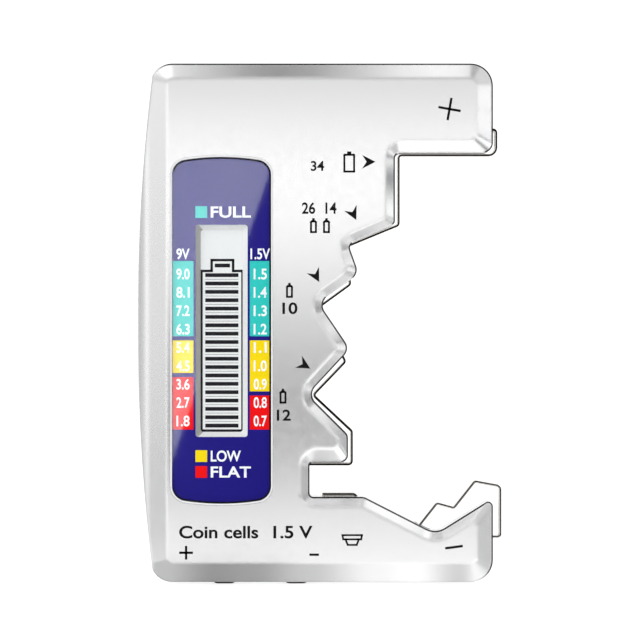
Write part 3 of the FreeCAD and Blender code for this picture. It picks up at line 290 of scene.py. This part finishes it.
def bump(tree, height, strength, depth):
    """A normal roughened by a height, with the given depth in millimetres."""
    made = add_node(tree, "Bump", {"Height": height, "Strength": strength, "Distance": depth * MM})
    return made.outputs["Normal"]


def rounded_normal(tree, radius, samples=6):
    """The normal of a surface whose edges are rounded."""
    return add_node(tree, "Bevel", {"Radius": radius * MM}, samples=samples).outputs["Normal"]


def ramp(tree, value, start, end):
    """Rise from 0 to 1 as a value goes from start to end."""
    return add_node(tree, "MapRange", {"Value": value, "From Min": start, "From Max": end}).outputs["Result"]


def times(tree, first, second):
    """The product of two values."""
    return add_node(tree, "Math", {0: first, 1: second}, operation="MULTIPLY").outputs[0]


def within(tree, value, field):
    """Whether a place in metres lies in a field, given by its middle and half in millimetres."""
    middle, half = field
    return add_node(tree, "Math", {0: value, 1: middle * MM, 2: half * MM}, operation="COMPARE").outputs[0]


def along(tree, vector, direction):
    """How far a vector reaches along a direction."""
    return add_node(tree, "VectorMath", {0: vector, 1: direction}, operation="DOT_PRODUCT").outputs["Value"]


def facing(tree):
    """How squarely a surface looks to the front or back."""
    normal = add_node(tree, "NewGeometry", {}).outputs["True Normal"]
    return add_node(tree, "Math", {0: along(tree, normal, (0, 1, 0))}, operation="ABSOLUTE").outputs[0]


def painted_bevel_shadow(tree, depth):
    """How far a point, this far in front of the parting, lies in the painted shadow line along a bevel's
    foot.

    The line is as wide on a steep bevel as on a shallow one when it is seen from the front.
    """
    normal = add_node(tree, "NewGeometry", {}).outputs["True Normal"]
    aside = add_node(tree, "VectorMath", {0: normal, 1: (1, 0, 1)}, operation="MULTIPLY").outputs["Vector"]
    steepness = add_node(tree, "VectorMath", {0: aside}, operation="LENGTH").outputs["Value"]
    rise = add_node(tree, "Math", {0: depth, 1: BEVEL_FOOT * MM}, operation="SUBTRACT").outputs[0]
    reach = add_node(tree, "Math", {0: times(tree, steepness, BEVEL_SHADOW_WIDTH * MM),
                                    1: times(tree, rise, facing(tree))}, operation="SUBTRACT").outputs[0]
    line = ramp(tree, reach, 0, EDGE_BLUR * MM)
    line = times(tree, line, ramp(tree, facing(tree), *WALL))
    line = times(tree, line, ramp(tree, rise, -FOOT_BLUR * MM, 0))
    line = times(tree, line, ramp(tree, along(tree, normal, (0, 0, 1)), *UNDERSIDE))
    for direction, first, last in EDGE_FADES:
        place = along(tree, object_place(tree), direction)
        line = times(tree, line, ramp(tree, place, first * MM, last * MM))
    return line


def principled(name, **constants):
    """A new material with its shader's fixed values, and its node tree."""
    material = bpy.data.materials.new(name)
    material.use_nodes = True
    tree = material.node_tree
    shader = tree.nodes["Principled BSDF"]
    for socket, value in constants.items():
        shader.inputs[socket.replace("_", " ")].default_value = value
    return material, tree, shader


def tinted(tree, shader, colour, other, size, stretch=(1, 1, 1)):
    """Let the base colour wander between two shades."""
    share = spread(tree, grain(tree, size, stretch), 0, 1)
    feed(tree, shader.inputs["Base Color"], mix_colours(tree, share, (*colour, 1), (*other, 1)))


# Materials
def case_plastic():
    """Pearl plastic with a fine flake, soft edges with a painted shadow line along the foot of their bevels,
    and a line where the shells part.
    """
    material, tree, shader = principled("pearl_plastic", Metallic=0.8)
    flake = spread(tree, grain(tree, 0.09, detail=1), 0, 1)
    pearl = mix_colours(tree, flake, *PEARL)
    place = add_node(tree, "SeparateXYZ", {"Vector": object_place(tree)})
    depth = add_node(tree, "Math", {0: place.outputs["Y"]}, operation="ABSOLUTE")
    seam = add_node(tree, "Math", {0: depth.outputs[0], 1: SEAM / 2 * MM}, operation="LESS_THAN")
    colour = mix_colours(tree, seam.outputs[0], pearl, SEAM_SHADE)
    # Painted shadow: a dark line along the foot of the bevels, in the base colour
    line = painted_bevel_shadow(tree, along(tree, object_place(tree), (0, -1, 0)))
    colour = mix_colours(tree, line, colour, BEVEL_SHADOW_PAINT)
    feed(tree, shader.inputs["Base Color"], colour)
    feed(tree, shader.inputs["Roughness"], spread(tree, grain(tree, 1.4), 0.19, 0.23))
    texture = bump(tree, grain(tree, 0.35), 0.035, 0.04)
    sharp = times(tree, within(tree, place.outputs["X"], SHARP_X), within(tree, place.outputs["Z"], SHARP_Z))
    plain = add_node(tree, "NewGeometry", {}).outputs["Normal"]
    normal = add_node(tree, "Mix", {0: sharp, 4: rounded_normal(tree, SOFT_EDGE), 5: plain},
                      data_type="VECTOR")
    feed(tree, texture.node.inputs["Normal"], normal.outputs[1])
    feed(tree, shader.inputs["Normal"], texture)
    return material


def contact_metal(name, side):
    """Nickel-plated sheet, brushed along its width, with a painted shadow on one side of its cut edges."""
    material, tree, shader = principled(name, Metallic=1.0)
    share = spread(tree, grain(tree, 0.25, BRUSHED), 0, 1)
    nickel = mix_colours(tree, share, *NICKEL)
    edge_shadow = mix_colours(tree, share, *CUT_EDGE_SHADOW)
    direction, past = side
    lean = along(tree, rounded_normal(tree, SHEET_LINE, 16), direction)
    # Painted shadow: the cut edge is dark on the side that leans towards the given direction
    line = times(tree, ramp(tree, facing(tree), *CUT_FACING), ramp(tree, lean, -past, SIDE_BLUR - past))
    feed(tree, shader.inputs["Base Color"], mix_colours(tree, line, nickel, edge_shadow))
    feed(tree, shader.inputs["Roughness"], spread(tree, grain(tree, 0.2, BRUSHED), 0.18, 0.34))
    feed(tree, shader.inputs["Normal"], bump(tree, grain(tree, 0.12, BRUSHED), 0.1, 0.02))
    return material


def screw_steel():
    """Zinc-plated screws with a slightly mottled, turned surface."""
    material, tree, shader = principled("zinc_steel", Metallic=1.0)
    tinted(tree, shader, (0.50, 0.51, 0.53), (0.66, 0.66, 0.66), 0.3)
    feed(tree, shader.inputs["Roughness"], spread(tree, grain(tree, 0.15), 0.25, 0.45))
    return material


def clear_lens():
    """Clear polished plastic with a mirror gloss that grows at a slant."""
    material = bpy.data.materials.new("clear_lens")
    material.use_nodes = True
    tree = material.node_tree
    tree.nodes.remove(tree.nodes["Principled BSDF"])
    scuff = spread(tree, grain(tree, 6), 0.01, 0.05)
    gloss = add_node(tree, "BsdfAnisotropic", {"Roughness": scuff})
    through = add_node(tree, "BsdfTransparent", {"Color": (0.97, 0.975, 0.98, 1)})
    slant = add_node(tree, "LayerWeight", {"Blend": 0.5}).outputs["Facing"]
    steep = add_node(tree, "Math", {0: slant, 1: GLOSS_POWER}, operation="POWER").outputs[0]
    share = add_node(tree, "MapRange", {"Value": steep, "To Min": LENS_GLOSS}).outputs["Result"]
    clear = add_node(tree, "MixShader", {0: share, 1: through.outputs[0], 2: gloss.outputs[0]})
    feed(tree, tree.nodes["Material Output"].inputs["Surface"], clear.outputs[0])
    return material


def ink(name, colour, other, roughness=0.35, varnish=0.0):
    """Printing ink with a faint mottle, and hardly any gloss unless it is varnished; it also serves for
    painted shadow and highlight lines.
    """
    material, tree, shader = principled(name, Specular_IOR_Level=0.08, Coat_Weight=varnish,
                                        Coat_Roughness=0.04)
    tinted(tree, shader, colour, other, 0.25)
    feed(tree, shader.inputs["Roughness"], spread(tree, grain(tree, 0.4), roughness, roughness + 0.12))
    return material


def display_glass():
    """Pale reflective ground of the display."""
    material, tree, shader = principled("display_ground", Specular_IOR_Level=0.2)
    tinted(tree, shader, (0.92, 0.93, 0.91), (0.95, 0.96, 0.94), 0.5)
    feed(tree, shader.inputs["Roughness"], spread(tree, grain(tree, 0.2), 0.3, 0.45))
    return material


def moulded(name, colour, other, roughness, size=0.5):
    """Plain moulded plastic, ceramic or rubber with a fine grain."""
    material, tree, shader = principled(name)
    tinted(tree, shader, colour, other, size)
    feed(tree, shader.inputs["Roughness"], spread(tree, grain(tree, size), roughness, roughness + 0.1))
    feed(tree, shader.inputs["Normal"], bump(tree, grain(tree, size / 2), 0.1, 0.03))
    return material


def zebra_rubber():
    """Layers of conducting and plain rubber, side by side."""
    material, tree, shader = principled("zebra_rubber", Roughness=0.6)
    bands = add_node(tree, "TexWave", {"Vector": object_place(tree), "Scale": 1 / (0.6 * MM),
                                       "Distortion": 0.3})
    stripes = mix_colours(tree, bands.outputs["Fac"], (0.02, 0.02, 0.02, 1), (0.35, 0.36, 0.38, 1))
    feed(tree, shader.inputs["Base Color"], stripes)
    return material


def circuit_laminate():
    """Green solder mask with paler tracks under it."""
    material, tree, shader = principled("solder_mask", Roughness=0.3, Coat_Weight=0.4)
    cells = add_node(tree, "TexBrick", {"Vector": object_place(tree), "Scale": 1 / (6 * MM),
                                        "Color1": (0.015, 0.16, 0.05, 1), "Color2": (0.02, 0.19, 0.06, 1),
                                        "Mortar": (0.03, 0.27, 0.09, 1), "Mortar Size": 0.04})
    feed(tree, shader.inputs["Base Color"], cells.outputs["Color"])
    return material


NODE_MATERIALS = {
    case_plastic(): ("front_shell", "rear_shell"),
    contact_metal("nickel_strip", STRIP_SIDE): ("positive_strip", "nine_volt_contact_positive",
                                                "nine_volt_contact_negative"),
    contact_metal("nickel_spring", SPRING_SIDE): ("negative_spring", "button_cell_plate"),
    screw_steel(): ("case_screws", "board_screws"),
    clear_lens(): ("display_lens",),
    ink("label_ink", (0.009, 0.005, 0.175), (0.011, 0.006, 0.195), varnish=1.0): ("scale_label",),
    display_glass(): ("lcd_panel",),
    moulded("holder_plastic", (0.78, 0.78, 0.76), (0.84, 0.84, 0.82), 0.4): ("lcd_holder",),
    zebra_rubber(): ("zebra_strips",),
    circuit_laminate(): ("circuit_board",),
    moulded("potting", (0.012, 0.012, 0.012), (0.03, 0.03, 0.03), 0.3, 1.5): ("controller_chip",),
    moulded("resistor_body", (0.015, 0.015, 0.02), (0.05, 0.05, 0.06), 0.4): ("smd_resistors",),
    moulded("capacitor_body", (0.42, 0.30, 0.18), (0.52, 0.40, 0.26), 0.4): ("smd_capacitors",),
    moulded("wire_red", (0.5, 0.015, 0.015), (0.6, 0.03, 0.03), 0.35): ("wire_nine_volt_positive",
                                                                       "wire_positive"),
    moulded("wire_black", (0.012, 0.012, 0.012), (0.03, 0.03, 0.03), 0.35): ("wire_nine_volt_negative",
                                                                          "wire_negative"),
}


def dress_nodes():
    """Give every CAD node its material."""
    for material, names in NODE_MATERIALS.items():
        for name in names:
            nodes[name].data.materials.clear()
            nodes[name].data.materials.append(material)


def add_piece(name, mesh, *materials):
    """Put a finished mesh into the scene with its materials."""
    made = bpy.data.meshes.new(name)
    mesh.to_mesh(made)
    mesh.free()
    for material in materials:
        made.materials.append(material)
    piece = bpy.data.objects.new(name, made)
    bpy.context.scene.collection.objects.link(piece)
    return piece


# Printing
class Print:
    """Flat shapes and words of one colour, printed at one depth."""

    def __init__(self):
        self.mesh = bmesh.new()

    def polygon(self, points):
        """A filled shape from its corners."""
        self.mesh.faces.new([self.mesh.verts.new((x, 0, z)) for x, z in points])

    def rectangle(self, x0, z0, x1, z1):
        """A filled rectangle."""
        self.polygon([(x0, z0), (x1, z0), (x1, z1), (x0, z1)])

    def loop(self, points, line):
        """A closed line through some points."""
        for start, end in zip(points, points[1:] + points[:1]):
            self.stroke(start, end, line)

    def stroke(self, start, end, line):
        """A straight line of the given width."""
        reach = (Vector(end) - Vector(start)).normalized() * line / 2
        side = Vector((-reach.y, reach.x))
        start = Vector(start) - reach
        end = Vector(end) + reach
        self.polygon([start + side, start - side, end - side, end + side])

    def bar(self, middle, length, degrees, line):
        """A straight line about its middle."""
        half = Vector((math.cos(math.radians(degrees)), math.sin(math.radians(degrees)))) * length / 2
        self.stroke(Vector(middle) - half, Vector(middle) + half, line)

    def arrow(self, tip, degrees):
        """An arrowhead with a notched back."""
        turn = Matrix.Rotation(math.radians(degrees), 2)
        back = Vector((-ARROW_LENGTH, ARROW_WIDTH / 2))
        front = Vector((-ARROW_LENGTH, -ARROW_WIDTH / 2))
        notch = Vector((ARROW_NOTCH - ARROW_LENGTH, 0))
        tip = Vector(tip)
        self.polygon([tip, tip + turn @ back, tip + turn @ notch])
        self.polygon([tip, tip + turn @ notch, tip + turn @ front])

    def words(self, text, middle, height, width, bold):
        """Lettering of a given height, squeezed to a width and made bolder."""
        curve = bpy.data.curves.new("lettering", "FONT")
        curve.body = text
        curve.offset = bold
        holder = bpy.data.objects.new("lettering", curve)
        letters = bpy.data.meshes.new_from_object(holder)
        points = [vertex.co for vertex in letters.vertices]
        low = Vector(map(min, zip(*points)))
        high = Vector(map(max, zip(*points)))
        rise = height / (high.y - low.y)
        stretch = width / (high.x - low.x)
        centre = (low + high) / 2
        for vertex in letters.vertices:
            offset = vertex.co - centre
            vertex.co = (middle[0] + offset.x * stretch, 0, middle[1] + offset.y * rise)
        self.mesh.from_mesh(letters)
        bpy.data.objects.remove(holder)
        bpy.data.curves.remove(curve)
        bpy.data.meshes.remove(letters)

    def finish(self, name, y, material, slot):
        """Turn the shapes to the front, put them at their depth and let them ride on the case."""
        for face in self.mesh.faces:
            face.normal_update()
            if face.normal.y > 0:
                face.normal_flip()
        self.mesh.transform(Matrix.Translation((0, y * MM, 0)) @ Matrix.Scale(MM, 4))
        piece = add_piece(name, self.mesh, material)
        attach(piece, "case")
        return piece


def column_fields(ends):
    """Upper and lower edges of the three fields of one column."""
    cuts = [SCALE_TOP_Z - SCALE_PITCH * (end - 0.5) for end in ends[:-1]]
    tops = [FIELD_TOP_Z] + [z - FIELD_GAP / 2 for z in cuts]
    bottoms = [z + FIELD_GAP / 2 for z in cuts] + [FIELD_BOTTOM_Z]
    return zip(tops, bottoms)


def print_label():
    """Coloured fields of the scale and squares of the legend, on the blue film."""
    fields = {"full": Print(), "low": Print(), "flat": Print()}
    for column, ends in ((LEFT_COLUMN, LEFT_FIELD_ENDS), (RIGHT_COLUMN, RIGHT_FIELD_ENDS)):
        for field, (top, bottom) in zip(fields.values(), column_fields(ends)):
            field.rectangle(column[0], bottom, column[1], top)
    half = LEGEND_SIDE / 2
    for state, _word, z in LEGEND:
        fields[state].rectangle(LEGEND_X - half, z - half, LEGEND_X + half, z + half)
    inks = {
        "full": ink("teal_ink", (0.022, 0.50, 0.45), (0.03, 0.54, 0.49), varnish=1.0),
        "low": ink("yellow_ink", (0.84, 0.63, 0.0), (0.88, 0.66, 0.005), varnish=1.0),
        "flat": ink("red_ink", (0.78, 0.001, 0.002), (0.82, 0.002, 0.003), varnish=1.0),
    }
    return [field.finish(f"scale_field_{state}", LABEL_Y - INK, inks[state], "label_film")
            for state, field in fields.items()]


def print_numbers():
    """White numbers and words over the fields."""
    letters = Print()
    columns = ((LEFT_COLUMN, LEFT_HEADING, LEFT_NUMBERS), (RIGHT_COLUMN, RIGHT_HEADING, RIGHT_NUMBERS))
    for column, (heading, width), numbers in columns:
        x = sum(column) / 2
        letters.words(heading, (x, HEADING_Z), DIGIT_HEIGHT, width, LABEL_BOLD)
        for row, number in enumerate(numbers):
            middle = (x, SCALE_TOP_Z - SCALE_PITCH * row)
            letters.words(number, middle, DIGIT_HEIGHT, DIGITS_WIDTH, LABEL_BOLD)
    for _state, word, z in LEGEND:
        width = LEGEND_LETTER * len(word)
        letters.words(word, (LEGEND_WORD_X + width / 2, z), LEGEND_HEIGHT, width, LABEL_BOLD)
    white = ink("white_ink", (0.86, 0.87, 0.88), (0.92, 0.93, 0.94), varnish=1.0)
    return [letters.finish("scale_numbers", LABEL_Y - 2 * INK, white, "label_film")]


def outer_edge(name):
    """Corners of the outer edge of the label or lens, in order round it."""
    corners = set()
    for vertex in nodes[name].data.vertices:
        x = vertex.co.x / MM
        z = vertex.co.z / MM
        in_width = WINDOW[0] - WINDOW_MARGIN < x < WINDOW[2] + WINDOW_MARGIN
        in_height = WINDOW[1] - WINDOW_MARGIN < z < WINDOW[3] + WINDOW_MARGIN
        if not (in_width and in_height):
            corners.add((round(x, 3), round(z, 3)))
    return sorted(corners, key=lambda corner: math.atan2(*(Vector(corner) - WINDOW_MIDDLE).yx))


def line_edge(shape, corners, width, left_x=-math.inf):
    """A line just inside an edge, except where the edge lies to the left of a place."""
    for start, end in zip(corners, corners[1:] + corners[:1]):
        start = Vector(start)
        end = Vector(end)
        if max(start.x, end.x) < left_x:
            continue
        inward = Vector((start.y - end.y, end.x - start.x)).normalized() * width
        shape.polygon([start, end, end + inward, start + inward])


def paint_label_shadow():
    """A thin painted shadow line along the top, right and bottom edges of the label."""
    border = Print()
    line_edge(border, outer_edge("scale_label"), LABEL_SHADOW_WIDTH, LABEL_SHADOW_LEFT_X)
    # Painted shadow: a dark line just inside the label's edge
    dark = ink("label_shadow_paint", (0.002, 0.0015, 0.006), (0.004, 0.003, 0.010))
    return [border.finish("label_edge_shadow", LABEL_Y - INK, dark, "label_film")]


def paint_lens_highlight():
    """A painted highlight of pale ink along the edge of the lens."""
    rim = Print()
    line_edge(rim, outer_edge("display_lens"), LENS_HIGHLIGHT)
    # Painted highlight: pale ink along the edge of the lens
    pale = ink("lens_highlight_paint", (0.90, 0.90, 0.91), (0.95, 0.95, 0.96), 0.3)
    rim.finish("lens_painted_highlight", FACE_Y - INK, pale, "lens_clear")


def print_display():
    """A cell's outline filled with bars, and the faint lines of the unlit segments."""
    lit = Print()
    x0, z0, x1, z1 = CELL
    nub_left, nub_foot, nub_right, nub_top = NUB
    lit.loop([(x0, z0), (x1, z0), (x1, z1), (nub_right, nub_foot), (nub_right, nub_top),
              (nub_left, nub_top), (nub_left, nub_foot), (x0, z1)], CELL_LINE)
    faint = Print()
    for step in range(BAR_COUNT):
        z = BAR_TOP_Z - BAR_PITCH * step
        lit.rectangle(BAR_X[0], z - BAR_HEIGHT / 2, BAR_X[1], z + BAR_HEIGHT / 2)
        gap_z = z - BAR_PITCH / 2
        faint.rectangle(BAR_X[0], gap_z - HAIR_LINE / 2, BAR_X[1], gap_z + HAIR_LINE / 2)
    middle = (nub_foot + nub_top) / 2
    lit.rectangle(nub_left + NUB_GAP, middle - BAR_HEIGHT / 2, nub_right - NUB_GAP, middle + BAR_HEIGHT / 2)
    segment = ink("display_segment", (0.012, 0.012, 0.014), (0.025, 0.025, 0.03), 0.3)
    ghost = ink("display_ghost", (0.33, 0.33, 0.34), (0.4, 0.4, 0.41), 0.3)
    return [lit.finish("display_bars", GLASS_Y - INK, segment, "lcd_glass"),
            faint.finish("display_ghost_lines", GLASS_Y - INK, ghost, "lcd_glass")]


def window_rim(inset):
    """Points round the window with its rounded corners, moved inwards."""
    x0, z0, x1, z1 = WINDOW
    radius = WINDOW_CORNER - INK
    reach = inset + radius
    points = []
    for x, z, start in ((x0 + reach, z0 + reach, 180), (x1 - reach, z0 + reach, 270),
                        (x1 - reach, z1 - reach, 0), (x0 + reach, z1 - reach, 90)):
        for step in range(WINDOW_STEPS + 1):
            angle = math.radians(start + 90 * step / WINDOW_STEPS)
            points.append((x + radius * math.cos(angle), z + radius * math.sin(angle)))
    return points


def display_bezel():
    """Matte slanted sides of the window, from the label down to the display, with painted shade on the left
    side as a greyer copy of the plastic.
    """
    mesh = bmesh.new()
    rims = []
    for y, inset in ((WINDOW_Y, INK), (GLASS_Y - INK, WINDOW_SLANT + INK)):
        rims.append([mesh.verts.new((x * MM, y * MM, z * MM)) for x, z in window_rim(inset)])
    outer, inner = rims
    left = min(vert.co.x for vert in outer) + WINDOW_CORNER * MM
    for i in range(len(outer)):
        face = mesh.faces.new((outer[i - 1], outer[i], inner[i], inner[i - 1]))
        face.material_index = int(max(outer[i - 1].co.x, outer[i].co.x) < left)
    pale = moulded("bezel_plastic", (0.90, 0.90, 0.89), (0.94, 0.94, 0.93), 0.5, 0.3)
    # Painted shade: the left slant gets a greyer copy of the bezel plastic
    grey = moulded("bezel_painted_shade", (0.48, 0.48, 0.46), (0.52, 0.52, 0.50), 0.5, 0.3)
    piece = add_piece("display_bezel", mesh, pale, grey)
    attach(piece, "case")
    return piece


def draw_cell(marks, x, z, width, height, shoulder, nub):
    """A small upright cell with its shoulders and nub."""
    side = width / 2
    neck = side - shoulder
    bottom = z - height / 2
    top = z + height / 2
    marks.loop([(x - side, bottom), (x + side, bottom), (x + side, top - shoulder), (x + neck, top),
                (x - neck, top), (x - side, top - shoulder)], LINE)
    marks.rectangle(x - nub / 2, top, x + nub / 2, top + NUB_HEIGHT)


def draw_coin(marks, x, z):
    """A button cell from the side: a rim over a tapering can."""
    for top, bottom, upper, lower in COIN_STEPS:
        marks.loop([(x - upper, z + top), (x + upper, z + top), (x + lower, z + bottom),
                    (x - lower, z + bottom)], COIN_STROKE)


def print_face():
    """Black marks on the face of the case."""
    marks = Print()
    for tip, degrees in ARROWS:
        marks.arrow(tip, degrees)
    for cell in CELL_MARKS:
        draw_cell(marks, *cell)
    for words, middle, height, width in CELL_NUMBERS + (COIN_LINE,):
        marks.words(words, middle, height, width, FACE_BOLD)
    draw_coin(marks, *COIN_MARK)
    for middle, length, degrees, line in PLUS_MARKS:
        marks.bar(middle, length, degrees, line)
        marks.bar(middle, length, degrees + 90, line)
    for middle, length, degrees, line in MINUS_MARKS:
        marks.bar(middle, length, degrees, line)
    black = ink("black_ink", (0.004, 0.004, 0.004), (0.010, 0.010, 0.010), 0.4)
    marks.finish("face_marks", FACE_Y - INK, black, "case_plastic")


# Studio
def stage_floor():
    """A wide pale floor under the contacts, lit from below like a light table."""
    material, tree, shader = principled("studio_paper", Roughness=0.9, Emission_Strength=FLOOR_GLOW)
    shader.inputs["Emission Color"].default_value = (1, 1, 1, 1)
    tinted(tree, shader, (0.86, 0.86, 0.86), (0.88, 0.88, 0.88), 40)
    mesh = bmesh.new()
    bmesh.ops.create_circle(mesh, cap_ends=True, radius=FLOOR_RADIUS, segments=FLOOR_SIDES)
    floor = add_piece("studio_floor", mesh, material)
    floor.location.z = FLOOR_Z


def reach_only(light, pieces):
    """Let a lamp light these pieces alone."""
    reached = bpy.data.collections.new(light.name + "_reach")
    for piece in pieces:
        reached.objects.link(piece)
    light.light_linking.receiver_collection = reached


def spare(light, pieces):
    """Keep a lamp or card off these pieces."""
    spared = bpy.data.collections.new(light.name + "_spares")
    for piece in pieces:
        spared.objects.link(piece)
    for member in spared.collection_objects:
        member.light_linking.link_state = "EXCLUDE"
    light.light_linking.receiver_collection = spared


def soft_light(name, place, aim, width, height, radiance, roll=0):
    """A rectangular soft box that looks at a point; lengths in metres."""
    lamp = bpy.data.lights.new(name, "AREA")
    lamp.shape = "RECTANGLE"
    lamp.size = width
    lamp.size_y = height
    lamp.energy = radiance * math.pi * width * height
    light = bpy.data.objects.new(name, lamp)
    light.location = place
    look = (Vector(aim) - Vector(place)).to_track_quat("-Z", "Y").to_matrix()
    light.rotation_euler = (look @ Matrix.Rotation(math.radians(roll), 3, "Z")).to_euler()
    light.visible_camera = False
    bpy.context.scene.collection.objects.link(light)
    return light


def light_card(name, corner, across, shaded, strength, stops):
    """A glowing panel that only reflections and bounced light see, shaded along one of its sides."""
    material = bpy.data.materials.new(name)
    material.use_nodes = True
    tree = material.node_tree
    place = add_node(tree, "TexCoord", {}).outputs["Object"]
    share = add_node(tree, "SeparateXYZ", {"Vector": place}).outputs["Y"]
    shade = grey_ramp(tree, share, stops)
    glow = add_node(tree, "Emission", {"Color": shade, "Strength": strength})
    feed(tree, tree.nodes["Material Output"].inputs["Surface"], glow.outputs[0])
    mesh = bmesh.new()
    mesh.faces.new([mesh.verts.new(point) for point in ((0, 0, 0), (1, 0, 0), (1, 1, 0), (0, 1, 0))])
    card = add_piece(name, mesh, material)
    across = Vector(across)
    shaded = Vector(shaded)
    outward = across.cross(shaded).normalized()
    turned = Matrix((across, shaded, outward)).transposed().to_4x4()
    card.matrix_world = Matrix.Translation(corner) @ turned
    card.visible_camera = False
    card.visible_shadow = False
    card.visible_diffuse = name not in FLOOR_CARDS
    return card


def grey_ramp(tree, value, stops):
    """Grey by a value, through stops of position and grey."""
    greys = add_node(tree, "ValToRGB", {"Fac": value})
    greys.color_ramp.interpolation = "EASE"
    elements = greys.color_ramp.elements
    while len(elements) < len(stops):
        elements.new(1)
    for element, (position, grey) in zip(elements, stops):
        element.position = position
        element.color = (grey, grey, grey, 1)
    return greys.outputs["Color"]


def studio_world():
    """White behind the object, a softer light in front, and a grey band between its sides and back."""
    world = bpy.data.worlds.new("studio")
    world.use_nodes = True
    tree = world.node_tree
    direction = add_node(tree, "TexCoord", {}).outputs["Generated"]
    way = add_node(tree, "SeparateXYZ", {"Vector": direction})
    depth = add_node(tree, "MapRange", {"Value": way.outputs["Y"], "From Min": -1, "From Max": 1})
    background = tree.nodes["Background"]
    feed(tree, background.inputs["Color"], grey_ramp(tree, depth.outputs["Result"], WORLD_STOPS))
    background.inputs["Strength"].default_value = WORLD_STRENGTH
    bpy.context.scene.world = world


def studio_light(label, display):
    """Cards that the case mirrors, a lamp for the gloss on the label and one for the display."""
    for card in [light_card(*card) for card in CARDS]:
        spare(card, [nodes["display_lens"]] + label)
    gloss = soft_light("gloss_box", GLOSS_PLACE, (GLOSS_PLACE[0], 0, GLOSS_PLACE[2]), *GLOSS_SIZE,
                       GLOSS_RADIANCE, GLOSS_ROLL)
    reach_only(gloss, label)
    lamp = soft_light("display_lamp", LAMP_PLACE, LAMP_AIM, LAMP_SIDE, LAMP_SIDE, LAMP_RADIANCE)
    reach_only(lamp, label + display)


def set_camera():
    """The photograph's view: square on to the face, from far away."""
    lens = bpy.data.cameras.new("camera")
    lens.lens = LENS
    lens.sensor_width = SENSOR
    distance = PHOTO_WIDTH * LENS / SENSOR
    camera = bpy.data.objects.new("camera", lens)
    camera.location = Vector((PHOTO_MIDDLE[0], FACE_Y - distance, PHOTO_MIDDLE[1])) * MM
    camera.rotation_euler = (math.radians(90), 0, 0)
    bpy.context.scene.collection.objects.link(camera)
    bpy.context.scene.camera = camera
    bpy.context.scene.view_settings.view_transform = "Standard"


dress_nodes()
label_pieces = [nodes["scale_label"]] + print_label() + print_numbers() + paint_label_shadow()
display_pieces = [nodes["lcd_panel"], display_bezel()] + print_display()
paint_lens_highlight()
print_face()
stage_floor()
studio_world()
studio_light(label_pieces, display_pieces)
set_camera()

bpy.context.view_layer.update()
